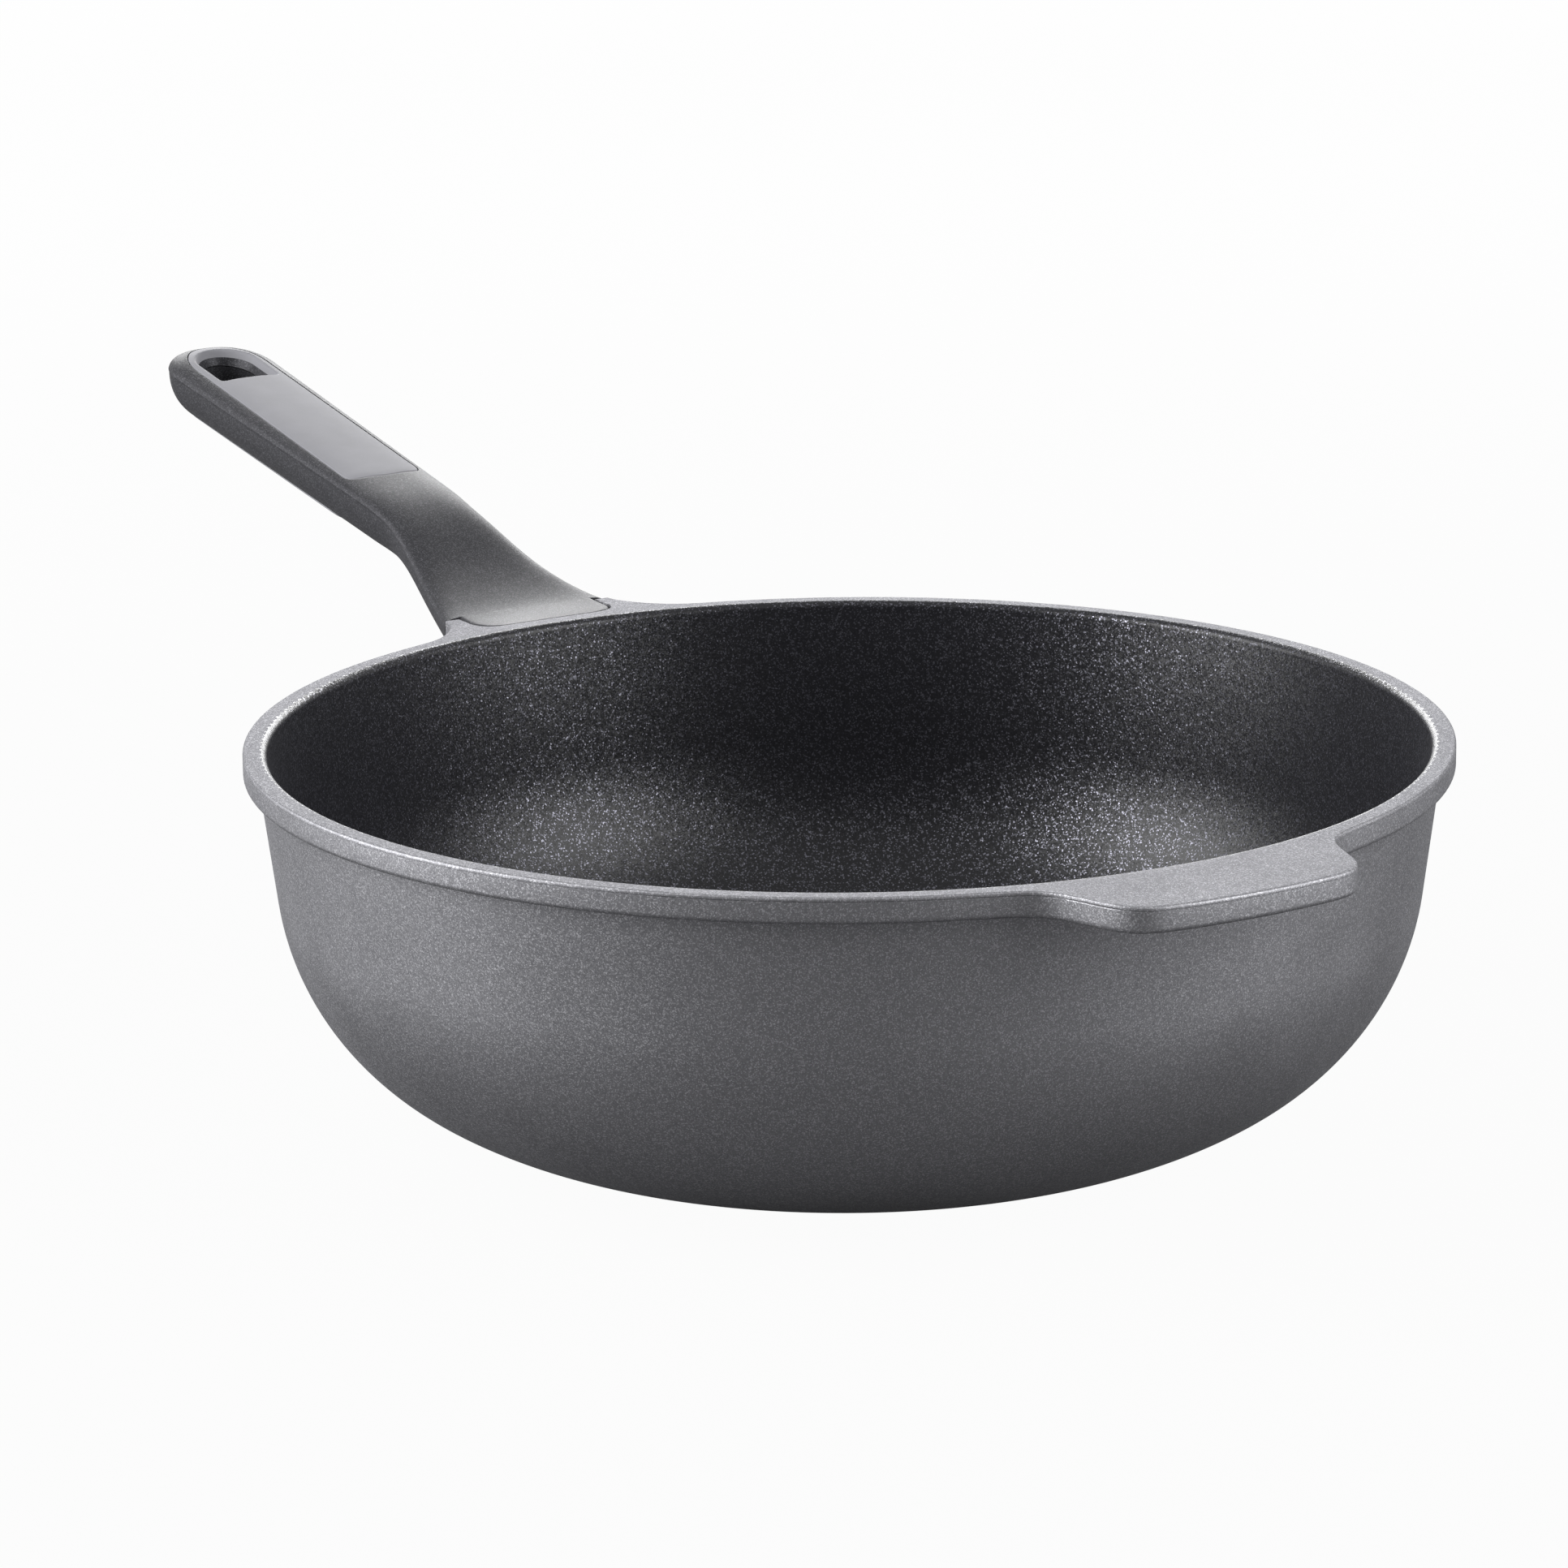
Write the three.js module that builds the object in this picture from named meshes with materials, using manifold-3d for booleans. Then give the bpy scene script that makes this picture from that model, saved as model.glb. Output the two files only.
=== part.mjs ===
// Cast aluminium wok with a stick handle and a helper ear, in millimetres, +Z up.
// The origin is the centre of the flat base, the handle points along +X and the ear along -X.
import * as THREE from 'three';
import { mergeVertices } from 'three/addons/utils/BufferGeometryUtils.js';
import Module from 'manifold-3d';

const wasm = await Module();
wasm.setup();

// Bowl, as a revolved wall: a drafted straight part, two tangent arcs and a flat base
const rimRadius = 144;
const flangeHeight = 6.2;
const flangeOverhang = 3.5;
const rimBevel = 0.6;
const rimInnerRounding = 1.8;
const rimTopWidth = 4;
const wallThickness = 2.7;
const floorThickness = 4.5;
const wallDraft = THREE.MathUtils.degToRad(7.24);
const straightWallHeight = 29.9;
const upperBowlRadius = 63;
const bowlBreakAngle = THREE.MathUtils.degToRad(57.6);
const lowerBowlRadius = 84;
const baseMeetAngle = THREE.MathUtils.degToRad(84.7);

// Helper ear: its outline swells out of the rim as a bell curve of the angle round the bowl
const earReach = 23;
const earHalfAngle = THREE.MathUtils.degToRad(12.6);
const earSharpness = 9;
const earSpread = THREE.MathUtils.degToRad(24);

// Steel disc pressed into the base, with rings of round holes
const baseBorder = 9;
const discThickness = 1.2;
const discHoleRadius = 3;
const discRingPitch = 13;
const discHoleSpacing = 16;
const discEdgeMargin = 6;

// Handle: a tongue flush with the rim, a rising neck, a widening straight grip and a rounded tip
const tongueClearance = 0.5;
const tongueLength = 13.1;
const tongueHalfWidth = 20;
const tongueThickness = 3;
const tongueCornerRadius = 6;
const shoulderHalfWidth = 24;
const shoulderRidgeDrop = 1.95;
const shoulderDepth = 11.7;
const shoulderTopPower = 12;
const taperLength = 53;
const taperPower = 1.4;
const neckLength = 66.4;
const neckRise = 20.3;
const neckStartReach = 34.6;
const neckStartSlope = 0.173;
const neckEndReach = 30.3;
const gripLength = 121.6;
const gripSlope = 0.1613;
const gripHalfWidth = 13.5;
const gripFlare = 0.0197;
const crownGain = 0.013;
const gripDepth = 13.55;
const gripTopPower = 2.6;
const undersidePower = 2.5;
const tipLength = 17;
const tipPower = 2.2;
const tipCapShare = 0.96;

// Soft inserts let into the top and the underside of the grip
const topInsertHalfWidth = 11.3;
const topInsertFrontInset = 9.3;
const topInsertFrontBulge = 1.6;
const topInsertTipInset = 3.6;
const topInsertEndLength = 16.5;
const topInsertFloorDepth = 0.5;
const insertCornerRadius = 5;
const bottomInsertHalfWidth = 10.1;
const bottomInsertFrontInset = 19;
const bottomInsertTipInset = 5.3;
const bottomInsertEndLength = 9;
const bottomInsertFloorDepth = 8.2;

// Hanging hole: straight across its near edge and round at its far end, with a funnelled mouth
const holeTipInset = 8.9;
const holeLength = 21;
const holeHalfWidth = 7.2;
const holeFunnel = 1.8;
const holeNearCorner = 2;
const holeFarRounding = 9;

// Fixing: a cast tang inside the neck, held by one screw from below
const tangHalfWidth = 8;
const tangThickness = 4.5;
const tangLength = 32;
const tangSlope = 0.3;
const screwFromShoulder = 14.4;
const screwShankRadius = 2.5;
const screwHeadRadius = 4.4;
const screwFaceRadius = 3.3;
const screwHeadHeight = 2;
const screwEngagement = 4;
const washerRadius = 4.8;
const washerThickness = 0.8;
const screwSeatWall = 1.5;
const fitGap = 0.3;

// Cast root that carries the handle, flaring back into the wall of the bowl
const rootFlare = 12.5;
const rootFlarePower = 1.7;
const rootBury = 5;
const rootFairing = 9;

// Facets
const bowlSegments = 72;
const arcSteps = 6;
const rimSteps = 3;
const earSteps = 32;
const rootSteps = 6;
const sectionPoints = 28;
const cornerSteps = 4;
const neckSteps = 12;
const tipSteps = 7;
const planCurveSteps = 8;
const holeCurveSteps = 5;
const roundSegments = 24;
const discHoleSides = 12;
const weldDistance = 1e-4;

// Places that follow from the sizes above
const wallTopRadius = rimRadius - flangeOverhang;
const rimHeight = flangeHeight + straightWallHeight
  + upperBowlRadius * (Math.sin(bowlBreakAngle) - Math.sin(wallDraft))
  + lowerBowlRadius * (Math.sin(baseMeetAngle) - Math.sin(bowlBreakAngle));
const tongueFront = rimRadius + tongueClearance;
const shoulderX = tongueFront + tongueLength;
const neckEndX = shoulderX + neckLength;
const handleEndX = neckEndX + gripLength;
const tipStartX = handleEndX - tipLength;
const shoulderRidgeZ = rimHeight - shoulderRidgeDrop;
const neckEndRidgeZ = shoulderRidgeZ + neckRise;
const gripAngle = Math.atan(gripSlope);
const tangAngle = Math.atan(tangSlope);
const tangRootDrop = tongueThickness + 2 * fitGap + tangThickness / 2 / Math.cos(tangAngle);
const screwX = shoulderX + screwFromShoulder;
const cutterReach = 2 * gripDepth;
const discRadius = () => bowlBaseRadius() - baseBorder;

function toSolid(geometry) {
  const bare = geometry.index ? geometry.toNonIndexed() : geometry.clone();
  for (const name of Object.keys(bare.attributes)) {
    if (name !== 'position') bare.deleteAttribute(name);
  }
  const merged = mergeVertices(bare, weldDistance);
  const corners = Array.from(merged.index.array);
  const triangles = [];
  for (let i = 0; i < corners.length; i += 3) {
    const [a, b, c] = corners.slice(i, i + 3);
    if (a !== b && b !== c && c !== a) triangles.push(a, b, c);
  }
  return new wasm.Manifold(new wasm.Mesh({
    numProp: 3,
    vertProperties: new Float32Array(merged.attributes.position.array),
    triVerts: new Uint32Array(triangles),
  }));
}

function toGeometry(solid) {
  const mesh = solid.getMesh();
  const geometry = new THREE.BufferGeometry();
  geometry.setAttribute('position', new THREE.BufferAttribute(new Float32Array(mesh.vertProperties), 3));
  geometry.setIndex(new THREE.BufferAttribute(new Uint32Array(mesh.triVerts), 1));
  geometry.computeVertexNormals();
  return geometry;
}

// A closed skin over rings of equally many points, with a flat cap on the first and the last ring
function loft(rings) {
  const count = rings[0].length;
  const positions = rings.flat().flatMap((point) => [point.x, point.y, point.z]);
  const triangles = [];
  for (let ring = 0; ring + 1 < rings.length; ring += 1) {
    for (let k = 0; k < count; k += 1) {
      const next = (k + 1) % count;
      const near = ring * count;
      const far = near + count;
      triangles.push(near + k, far + next, far + k, near + k, near + next, far + next);
    }
  }
  const last = (rings.length - 1) * count;
  for (let k = 1; k + 1 < count; k += 1) {
    triangles.push(0, k + 1, k);
    triangles.push(last, last + k, last + k + 1);
  }
  const geometry = new THREE.BufferGeometry();
  geometry.setAttribute('position', new THREE.Float32BufferAttribute(positions, 3));
  geometry.setIndex(triangles);
  return geometry;
}

// A profile of [radius, height] pairs turned round the Z axis
function revolve(profile, segments) {
  const points = profile.map(([radius, height]) => new THREE.Vector2(radius, height));
  return new THREE.LatheGeometry(points, segments).rotateX(Math.PI / 2);
}

function extrude(shape, depth, bevel = 0) {
  return new THREE.ExtrudeGeometry(shape, {
    depth: depth - 2 * bevel,
    bevelEnabled: bevel > 0,
    bevelThickness: bevel,
    bevelSize: bevel,
    bevelOffset: -bevel,
    bevelSegments: 1,
    curveSegments: planCurveSteps,
  }).translate(0, 0, bevel);
}

// Bowl wall as [radius, height] pairs from the flange down, drawn in by the given inset
function bowlWall(inset, topHeight) {
  const straightTop = rimHeight - flangeHeight;
  const bendHeight = straightTop - straightWallHeight;
  const bendRadius = wallTopRadius - straightWallHeight * Math.tan(wallDraft);
  const upperCentre = [
    bendRadius - upperBowlRadius * Math.cos(wallDraft),
    bendHeight + upperBowlRadius * Math.sin(wallDraft),
  ];
  const step = upperBowlRadius - lowerBowlRadius;
  const lowerCentre = [
    upperCentre[0] + step * Math.cos(bowlBreakAngle),
    upperCentre[1] - step * Math.sin(bowlBreakAngle),
  ];
  const arc = (centre, radius, from, to) => Array.from({ length: arcSteps }, (_, k) => {
    const angle = from + (to - from) * (k + 1) / arcSteps;
    return [centre[0] + radius * Math.cos(angle), centre[1] - radius * Math.sin(angle)];
  });
  const onWall = (height) => wallTopRadius - inset / Math.cos(wallDraft)
    - (straightTop - height) * Math.tan(wallDraft);
  const bend = [
    upperCentre[0] + (upperBowlRadius - inset) * Math.cos(wallDraft),
    upperCentre[1] - (upperBowlRadius - inset) * Math.sin(wallDraft),
  ];
  const floor = inset > 0 ? floorThickness : 0;
  const floorAngle = Math.asin((lowerCentre[1] - floor) / (lowerBowlRadius - inset));
  return [
    [onWall(topHeight), topHeight],
    bend,
    ...arc(upperCentre, upperBowlRadius - inset, wallDraft, bowlBreakAngle),
    ...arc(lowerCentre, lowerBowlRadius - inset, bowlBreakAngle, floorAngle),
  ];
}

function bowlBaseRadius() {
  return bowlWall(0, rimHeight - flangeHeight).at(-1)[0];
}

function bowlShell() {
  const recess = discThickness + fitGap;
  const outside = bowlWall(0, rimHeight - flangeHeight).reverse();
  const insideTop = rimHeight - rimInnerRounding;
  const inside = bowlWall(wallThickness, insideTop);
  const rimInner = rimRadius - rimTopWidth;
  const across = rimInner - inside[0][0];
  const rounding = Array.from({ length: rimSteps }, (_, k) => {
    const angle = Math.PI / 2 * k / rimSteps;
    return [
      rimInner - across * Math.sin(angle),
      insideTop + rimInnerRounding * Math.cos(angle),
    ];
  });
  return toSolid(revolve([
    [0, recess],
    [discRadius() + fitGap, recess],
    [discRadius() + fitGap, 0],
    ...outside,
    [rimRadius - rimBevel, rimHeight - flangeHeight],
    [rimRadius, rimHeight - flangeHeight + rimBevel],
    [rimRadius, rimHeight - rimBevel],
    [rimRadius - rimBevel, rimHeight],
    ...rounding,
    ...inside,
    [0, floorThickness],
  ], bowlSegments));
}

function helperEar() {
  const outline = [];
  for (let k = 0; k <= earSteps; k += 1) {
    const angle = earSpread * (2 * k / earSteps - 1);
    const reach = earReach / (1 + Math.abs(angle / earHalfAngle) ** earSharpness);
    const radius = rimRadius + reach;
    outline.push(new THREE.Vector2(radius * Math.cos(angle), radius * Math.sin(angle)));
  }
  const shape = new THREE.Shape(outline);
  shape.absarc(0, 0, rimRadius - rimTopWidth / 2, earSpread, -earSpread, true);
  const plate = extrude(shape, flangeHeight, rimBevel);
  plate.rotateZ(Math.PI).translate(0, 0, rimHeight - flangeHeight);
  return toSolid(plate);
}

// One handle section: a flattened upper half and a deeper lower half that meet at the side ridge
function sectionRing({ x, halfWidth, ridgeZ, crown, depth, topPower }) {
  return Array.from({ length: sectionPoints }, (_, k) => {
    const angle = 2 * Math.PI * k / sectionPoints;
    const across = Math.abs(Math.cos(angle));
    const up = Math.abs(Math.sin(angle));
    const above = Math.sin(angle) >= 0;
    const power = above ? topPower : undersidePower;
    const y = Math.sign(Math.cos(angle)) * halfWidth * across ** (2 / power);
    const rise = above ? crown * up : -depth * up ** (2 / undersidePower);
    return new THREE.Vector3(x, y, ridgeZ + rise);
  });
}

// Height of the side ridge on the straight grip
const gripRidgeZ = (x) => neckEndRidgeZ + gripSlope * (x - neckEndX);

// Rise of the top face over the side ridge, which grows slowly towards the tip
const crownAt = (x) => shoulderRidgeDrop + crownGain * (x - shoulderX);

// Half width of the handle: a slow flare towards the tip, with a taper from the shoulder added to it
function halfWidthAt(x) {
  const flared = (place) => gripHalfWidth + gripFlare * (place - neckEndX);
  const left = Math.max(0, 1 - (x - shoulderX) / taperLength);
  return flared(x) + (shoulderHalfWidth - flared(shoulderX)) * left ** taperPower;
}

function tongueSections() {
  const base = {
    ridgeZ: shoulderRidgeZ,
    crown: shoulderRidgeDrop,
    depth: tongueThickness - shoulderRidgeDrop,
    topPower: shoulderTopPower,
  };
  const flat = tongueHalfWidth - tongueCornerRadius;
  const corner = Array.from({ length: cornerSteps + 1 }, (_, k) => {
    const angle = Math.PI / 2 * k / cornerSteps;
    return {
      ...base,
      x: tongueFront + tongueCornerRadius * (1 - Math.cos(angle)),
      halfWidth: flat + tongueCornerRadius * Math.sin(angle),
    };
  });
  return [...corner, { ...base, x: shoulderX - fitGap, halfWidth: tongueHalfWidth }];
}

function neckSections() {
  const curve = new THREE.CubicBezierCurve(
    new THREE.Vector2(shoulderX, shoulderRidgeZ),
    new THREE.Vector2(shoulderX + neckStartReach, shoulderRidgeZ + neckStartReach * neckStartSlope),
    new THREE.Vector2(neckEndX - neckEndReach, neckEndRidgeZ - neckEndReach * gripSlope),
    new THREE.Vector2(neckEndX, neckEndRidgeZ),
  );
  return Array.from({ length: neckSteps + 1 }, (_, k) => {
    const point = curve.getPoint(k / neckSteps);
    const along = (point.x - shoulderX) / neckLength;
    const late = THREE.MathUtils.smoothstep(along ** 3, 0, 1);
    return {
      x: point.x,
      ridgeZ: point.y,
      halfWidth: halfWidthAt(point.x),
      crown: crownAt(point.x),
      depth: THREE.MathUtils.lerp(shoulderDepth, gripDepth, late),
      topPower: THREE.MathUtils.lerp(gripTopPower, shoulderTopPower, (1 - along) ** 2),
    };
  });
}

function tipSections() {
  return Array.from({ length: tipSteps + 1 }, (_, k) => {
    const share = Math.sin(tipCapShare * Math.PI / 2 * k / tipSteps);
    const shrink = (1 - share ** tipPower) ** (1 / tipPower);
    const x = tipStartX + tipLength * share;
    return {
      x,
      ridgeZ: gripRidgeZ(x),
      halfWidth: halfWidthAt(x) * shrink,
      crown: crownAt(x) * shrink,
      depth: gripDepth * shrink,
      topPower: gripTopPower,
    };
  });
}

function handleEnvelope() {
  const sections = [...tongueSections(), ...neckSections(), ...tipSections()];
  return toSolid(loft(sections.map(sectionRing)));
}

// Moves a solid drawn on the grip's own sloping plane, with x along the handle, to its place
function onGrip(geometry, heightOverRidge) {
  geometry.translate(0, 0, heightOverRidge);
  geometry.rotateY(-gripAngle);
  return geometry.translate(neckEndX, 0, neckEndRidgeZ);
}

const alongGrip = (x) => (x - neckEndX) / Math.cos(gripAngle);

// Plan of an insert: a bowed front edge with round corners and an elliptical end at the tip
function insertPlan({ frontX, endX, halfWidth, bulge, endLength }) {
  const front = alongGrip(frontX);
  const endStart = alongGrip(endX) - endLength;
  const corner = insertCornerRadius;
  const shape = new THREE.Shape();
  shape.moveTo(front + corner, -halfWidth);
  shape.lineTo(endStart, -halfWidth);
  shape.absellipse(endStart, 0, endLength, halfWidth, -Math.PI / 2, Math.PI / 2, false);
  shape.lineTo(front + corner, halfWidth);
  shape.quadraticCurveTo(front, halfWidth, front, halfWidth - corner);
  shape.quadraticCurveTo(front - bulge, 0, front, corner - halfWidth);
  shape.quadraticCurveTo(front, -halfWidth, front + corner, -halfWidth);
  return shape;
}

function topInsertBlank(grow) {
  const plan = insertPlan({
    frontX: neckEndX + topInsertFrontInset - grow,
    endX: handleEndX - topInsertTipInset + grow,
    halfWidth: topInsertHalfWidth + grow,
    bulge: topInsertFrontBulge,
    endLength: topInsertEndLength,
  });
  return toSolid(onGrip(extrude(plan, cutterReach), -topInsertFloorDepth - grow));
}

function bottomInsertBlank(grow) {
  const plan = insertPlan({
    frontX: neckEndX + bottomInsertFrontInset - grow,
    endX: handleEndX - bottomInsertTipInset + grow,
    halfWidth: bottomInsertHalfWidth + grow,
    bulge: 0,
    endLength: bottomInsertEndLength,
  });
  return toSolid(onGrip(extrude(plan, cutterReach), grow - bottomInsertFloorDepth - cutterReach));
}

// Ring of the hanging hole's outline, grown by the given amount, at a height over the ridge plane
function holeRing(grow, height) {
  const far = alongGrip(handleEndX - holeTipInset) + grow;
  const near = far - holeLength - 2 * grow;
  const half = holeHalfWidth + grow;
  const shape = new THREE.Shape();
  shape.moveTo(near + holeNearCorner, -half);
  shape.lineTo(far - holeFarRounding, -half);
  shape.bezierCurveTo(far - holeFarRounding / 2, -half, far, -half / 2, far, 0);
  shape.bezierCurveTo(far, half / 2, far - holeFarRounding / 2, half, far - holeFarRounding, half);
  shape.lineTo(near + holeNearCorner, half);
  shape.quadraticCurveTo(near, half, near, half - holeNearCorner);
  shape.lineTo(near, holeNearCorner - half);
  shape.quadraticCurveTo(near, -half, near + holeNearCorner, -half);
  const outline = shape.getPoints(holeCurveSteps).slice(0, -1);
  return outline.map((point) => new THREE.Vector3(height, point.x, point.y));
}

// Rings above are drawn in the loft's order, so the stack is turned to stand on the grip plane
function holeCutter(rings) {
  const stack = loft(rings.map(([grow, height]) => holeRing(grow, height)));
  const turn = new THREE.Matrix4().set(0, 1, 0, 0, 0, 0, 1, 0, 1, 0, 0, 0, 0, 0, 0, 1);
  return toSolid(onGrip(stack.applyMatrix4(turn), 0));
}

function holeThroughGrip() {
  return holeCutter([[0, -cutterReach], [0, cutterReach]]);
}

function holeFunnelMouth() {
  const throat = -topInsertFloorDepth;
  const mouth = crownAt(handleEndX - holeTipInset - holeLength / 2);
  return holeCutter([[0, throat - mouth], [0, throat], [2 * holeFunnel, 2 * mouth - throat]]);
}

// Moves a solid drawn about the screw's axis, with the tang's mid plane at height 0, to its place
function onTang(geometry) {
  const height = rimHeight - tangRootDrop + tangSlope * screwFromShoulder;
  geometry.rotateY(-tangAngle);
  return geometry.translate(screwX, 0, height);
}

function tangBar(grow) {
  const back = rimRadius - rootBury - screwX;
  const front = tangLength - screwFromShoulder;
  const length = front - back + grow;
  const bar = new THREE.BoxGeometry(length, 2 * (tangHalfWidth + grow), tangThickness + 2 * grow);
  return toSolid(onTang(bar.translate(back + length / 2, 0, 0)));
}

function tangFromShoulder(grow) {
  const bar = tangBar(grow);
  const reach = 2 * (handleEndX - tongueFront);
  const keep = new THREE.BoxGeometry(reach, reach, reach);
  keep.translate(shoulderX - fitGap + reach / 2, 0, rimHeight);
  return bar.intersect(toSolid(keep));
}

// Heights along the screw, counted from the tang's mid plane
const screwLedge = -(tangThickness / 2 + fitGap + screwSeatWall);
const washerTop = screwLedge - fitGap;
const headTop = washerTop - washerThickness - fitGap;

function roundBar(radius, from, to) {
  return toSolid(onTang(revolve([[0, from], [radius, from], [radius, to], [0, to]], roundSegments)));
}

function screwClearance() {
  const shank = roundBar(screwShankRadius + fitGap, screwLedge - cutterReach, tangThickness / 2 + fitGap);
  const counterbore = roundBar(washerRadius + fitGap, screwLedge - cutterReach, screwLedge);
  return shank.add(counterbore);
}

function castRoot() {
  const inner = rimRadius - rootBury;
  const outer = shoulderX - fitGap;
  const sections = Array.from({ length: rootSteps + 1 }, (_, k) => {
    const back = k / rootSteps;
    return {
      x: outer - (outer - inner) * back,
      halfWidth: shoulderHalfWidth + rootFlare * back ** rootFlarePower,
      ridgeZ: shoulderRidgeZ,
      crown: shoulderRidgeDrop,
      depth: shoulderDepth + rootFairing * back ** 2,
      topPower: shoulderTopPower,
    };
  });
  return toSolid(loft(sections.reverse().map(sectionRing)));
}

function tongueRecess() {
  const front = tongueFront - fitGap;
  const half = tongueHalfWidth + fitGap;
  const corner = tongueCornerRadius;
  const back = shoulderX + tongueLength;
  const shape = new THREE.Shape();
  shape.moveTo(back, -half);
  shape.lineTo(back, half);
  shape.lineTo(front + corner, half);
  shape.absarc(front + corner, half - corner, corner, Math.PI / 2, Math.PI, false);
  shape.absarc(front + corner, corner - half, corner, Math.PI, 1.5 * Math.PI, false);
  const depth = tongueThickness + fitGap;
  return toSolid(extrude(shape, 2 * depth).translate(0, 0, rimHeight - depth));
}

function cavityOfBowl() {
  const inside = bowlWall(wallThickness, rimHeight);
  return toSolid(revolve([[0, floorThickness], ...inside.reverse(), [0, rimHeight]], bowlSegments));
}

function wokBody() {
  const root = castRoot().subtract(cavityOfBowl());
  const screwHole = roundBar(screwShankRadius + fitGap, -tangThickness, tangThickness);
  return bowlShell().add(helperEar()).add(root).subtract(tongueRecess())
    .add(tangBar(0).subtract(cavityOfBowl())).subtract(screwHole);
}

function handleCore(envelope) {
  return envelope
    .subtract(topInsertBlank(fitGap))
    .subtract(bottomInsertBlank(fitGap))
    .subtract(holeThroughGrip())
    .subtract(tangFromShoulder(fitGap))
    .subtract(screwClearance());
}

function topInsert(envelope) {
  return envelope.intersect(topInsertBlank(0)).subtract(holeFunnelMouth());
}

function bottomInsert(envelope) {
  return envelope.intersect(bottomInsertBlank(0)).subtract(holeThroughGrip());
}

function inductionDisc() {
  const plate = toSolid(revolve(
    [[0, 0], [discRadius(), 0], [discRadius(), discThickness], [0, discThickness]],
    bowlSegments,
  ));
  const drill = new THREE.CylinderGeometry(discHoleRadius, discHoleRadius, 4 * discThickness, discHoleSides);
  drill.rotateX(Math.PI / 2);
  const holes = [];
  const rings = Math.floor((discRadius() - discEdgeMargin) / discRingPitch);
  for (let ring = 1; ring <= rings; ring += 1) {
    const radius = ring * discRingPitch;
    const count = Math.round(2 * Math.PI * radius / discHoleSpacing);
    for (let k = 0; k < count; k += 1) {
      const angle = 2 * Math.PI * (k + ring % 2 / 2) / count;
      const place = [radius * Math.cos(angle), radius * Math.sin(angle), 0];
      holes.push(toSolid(drill.clone().translate(...place)));
    }
  }
  return holes.reduce((disc, hole) => disc.subtract(hole), plate);
}

function handleScrew() {
  const headBottom = headTop - screwHeadHeight;
  const shankTop = -tangThickness / 2 + screwEngagement;
  return toSolid(onTang(revolve([
    [0, headBottom],
    [screwFaceRadius, headBottom],
    [screwHeadRadius, headBottom + screwHeadHeight / 2],
    [screwHeadRadius, headTop],
    [screwShankRadius, headTop],
    [screwShankRadius, shankTop],
    [0, shankTop],
  ], roundSegments)));
}

function screwWasher() {
  const bore = screwShankRadius + fitGap;
  const bottom = washerTop - washerThickness;
  return toSolid(onTang(revolve([
    [bore, bottom], [washerRadius, bottom], [washerRadius, washerTop], [bore, washerTop], [bore, bottom],
  ], roundSegments)));
}

function addPiece(name, solid, color, roughness, metalness) {
  const material = new THREE.MeshStandardMaterial({ color, roughness, metalness });
  const mesh = new THREE.Mesh(toGeometry(solid), material);
  mesh.name = name;
  wok.add(mesh);
}

const wok = new THREE.Group();
const envelope = handleEnvelope();
addPiece('wok_body', wokBody(), '#6e6d73', 0.45, 0.6);
addPiece('induction_disc', inductionDisc(), '#b9bbbd', 0.35, 1);
addPiece('handle_core', handleCore(envelope), '#4c4b50', 0.5, 0.3);
addPiece('top_grip_insert', topInsert(envelope), '#929195', 0.8, 0);
addPiece('bottom_grip_insert', bottomInsert(envelope), '#929195', 0.8, 0);
addPiece('handle_screw', handleScrew(), '#c4c4c4', 0.3, 1);
addPiece('screw_washer', screwWasher(), '#b0b0b0', 0.4, 1);

export default wok;
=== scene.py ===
"""Looks of a cast aluminium wok with a stick handle and a helper ear.

Lengths are in millimetres until a mesh is made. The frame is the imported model's: the base stands
on Z = 0, the handle points along +X and the ear along -X. Fronts, backs, the shoulder and the ends of
root, neck and handle are places along X from the bowl's axis, and slopes are rises over lengths."""
from math import radians

import bmesh
import bpy
import numpy as np
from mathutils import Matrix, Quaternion, Vector


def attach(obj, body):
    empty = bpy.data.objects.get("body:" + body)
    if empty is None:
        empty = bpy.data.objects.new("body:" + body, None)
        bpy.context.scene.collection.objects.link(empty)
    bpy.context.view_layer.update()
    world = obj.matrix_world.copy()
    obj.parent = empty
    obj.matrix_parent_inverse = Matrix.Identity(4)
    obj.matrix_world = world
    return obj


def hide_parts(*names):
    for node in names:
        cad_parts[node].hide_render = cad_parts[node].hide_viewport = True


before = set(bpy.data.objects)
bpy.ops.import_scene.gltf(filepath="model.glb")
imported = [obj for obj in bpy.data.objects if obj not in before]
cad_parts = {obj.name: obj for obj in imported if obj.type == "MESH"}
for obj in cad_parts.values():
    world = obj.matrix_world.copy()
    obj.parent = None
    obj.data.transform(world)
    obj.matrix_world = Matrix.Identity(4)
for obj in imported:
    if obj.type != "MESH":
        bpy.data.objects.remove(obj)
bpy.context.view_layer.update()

MM = 0.001
TINY = 1e-6

# Bowl
RIM_RADIUS = 144.0
FLANGE_HEIGHT = 6.2
FLANGE_OVERHANG = 3.5
EDGE_ROUNDING = 0.6
LOWER_EDGE_ROUNDING = 1.3
EDGE_GROOVE_DEPTH = 0.15
EDGE_GROOVE_DROP = 1.0
EDGE_GROOVE_HALF_MOUTH = 0.15
EDGE_GROOVE_HALF_FLOOR = 0.05
RIM_INNER_ROUNDING = 1.8
RIM_TOP_WIDTH = 4.0
WALL_THICKNESS = 2.7
FLOOR_THICKNESS = 4.5
WALL_DRAFT = radians(7.24)
STRAIGHT_WALL = 29.9
UPPER_BOWL_RADIUS = 63.0
BOWL_BREAK = radians(57.6)
LOWER_BOWL_RADIUS = 84.0
BASE_MEET = radians(84.7)
DISC_RECESS_DEPTH = 1.5
DISC_RECESS_CHAMFER = 0.3
BASE_BORDER = 8.7
COATING = 0.15
COATING_FADE_ROWS = 6

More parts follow.
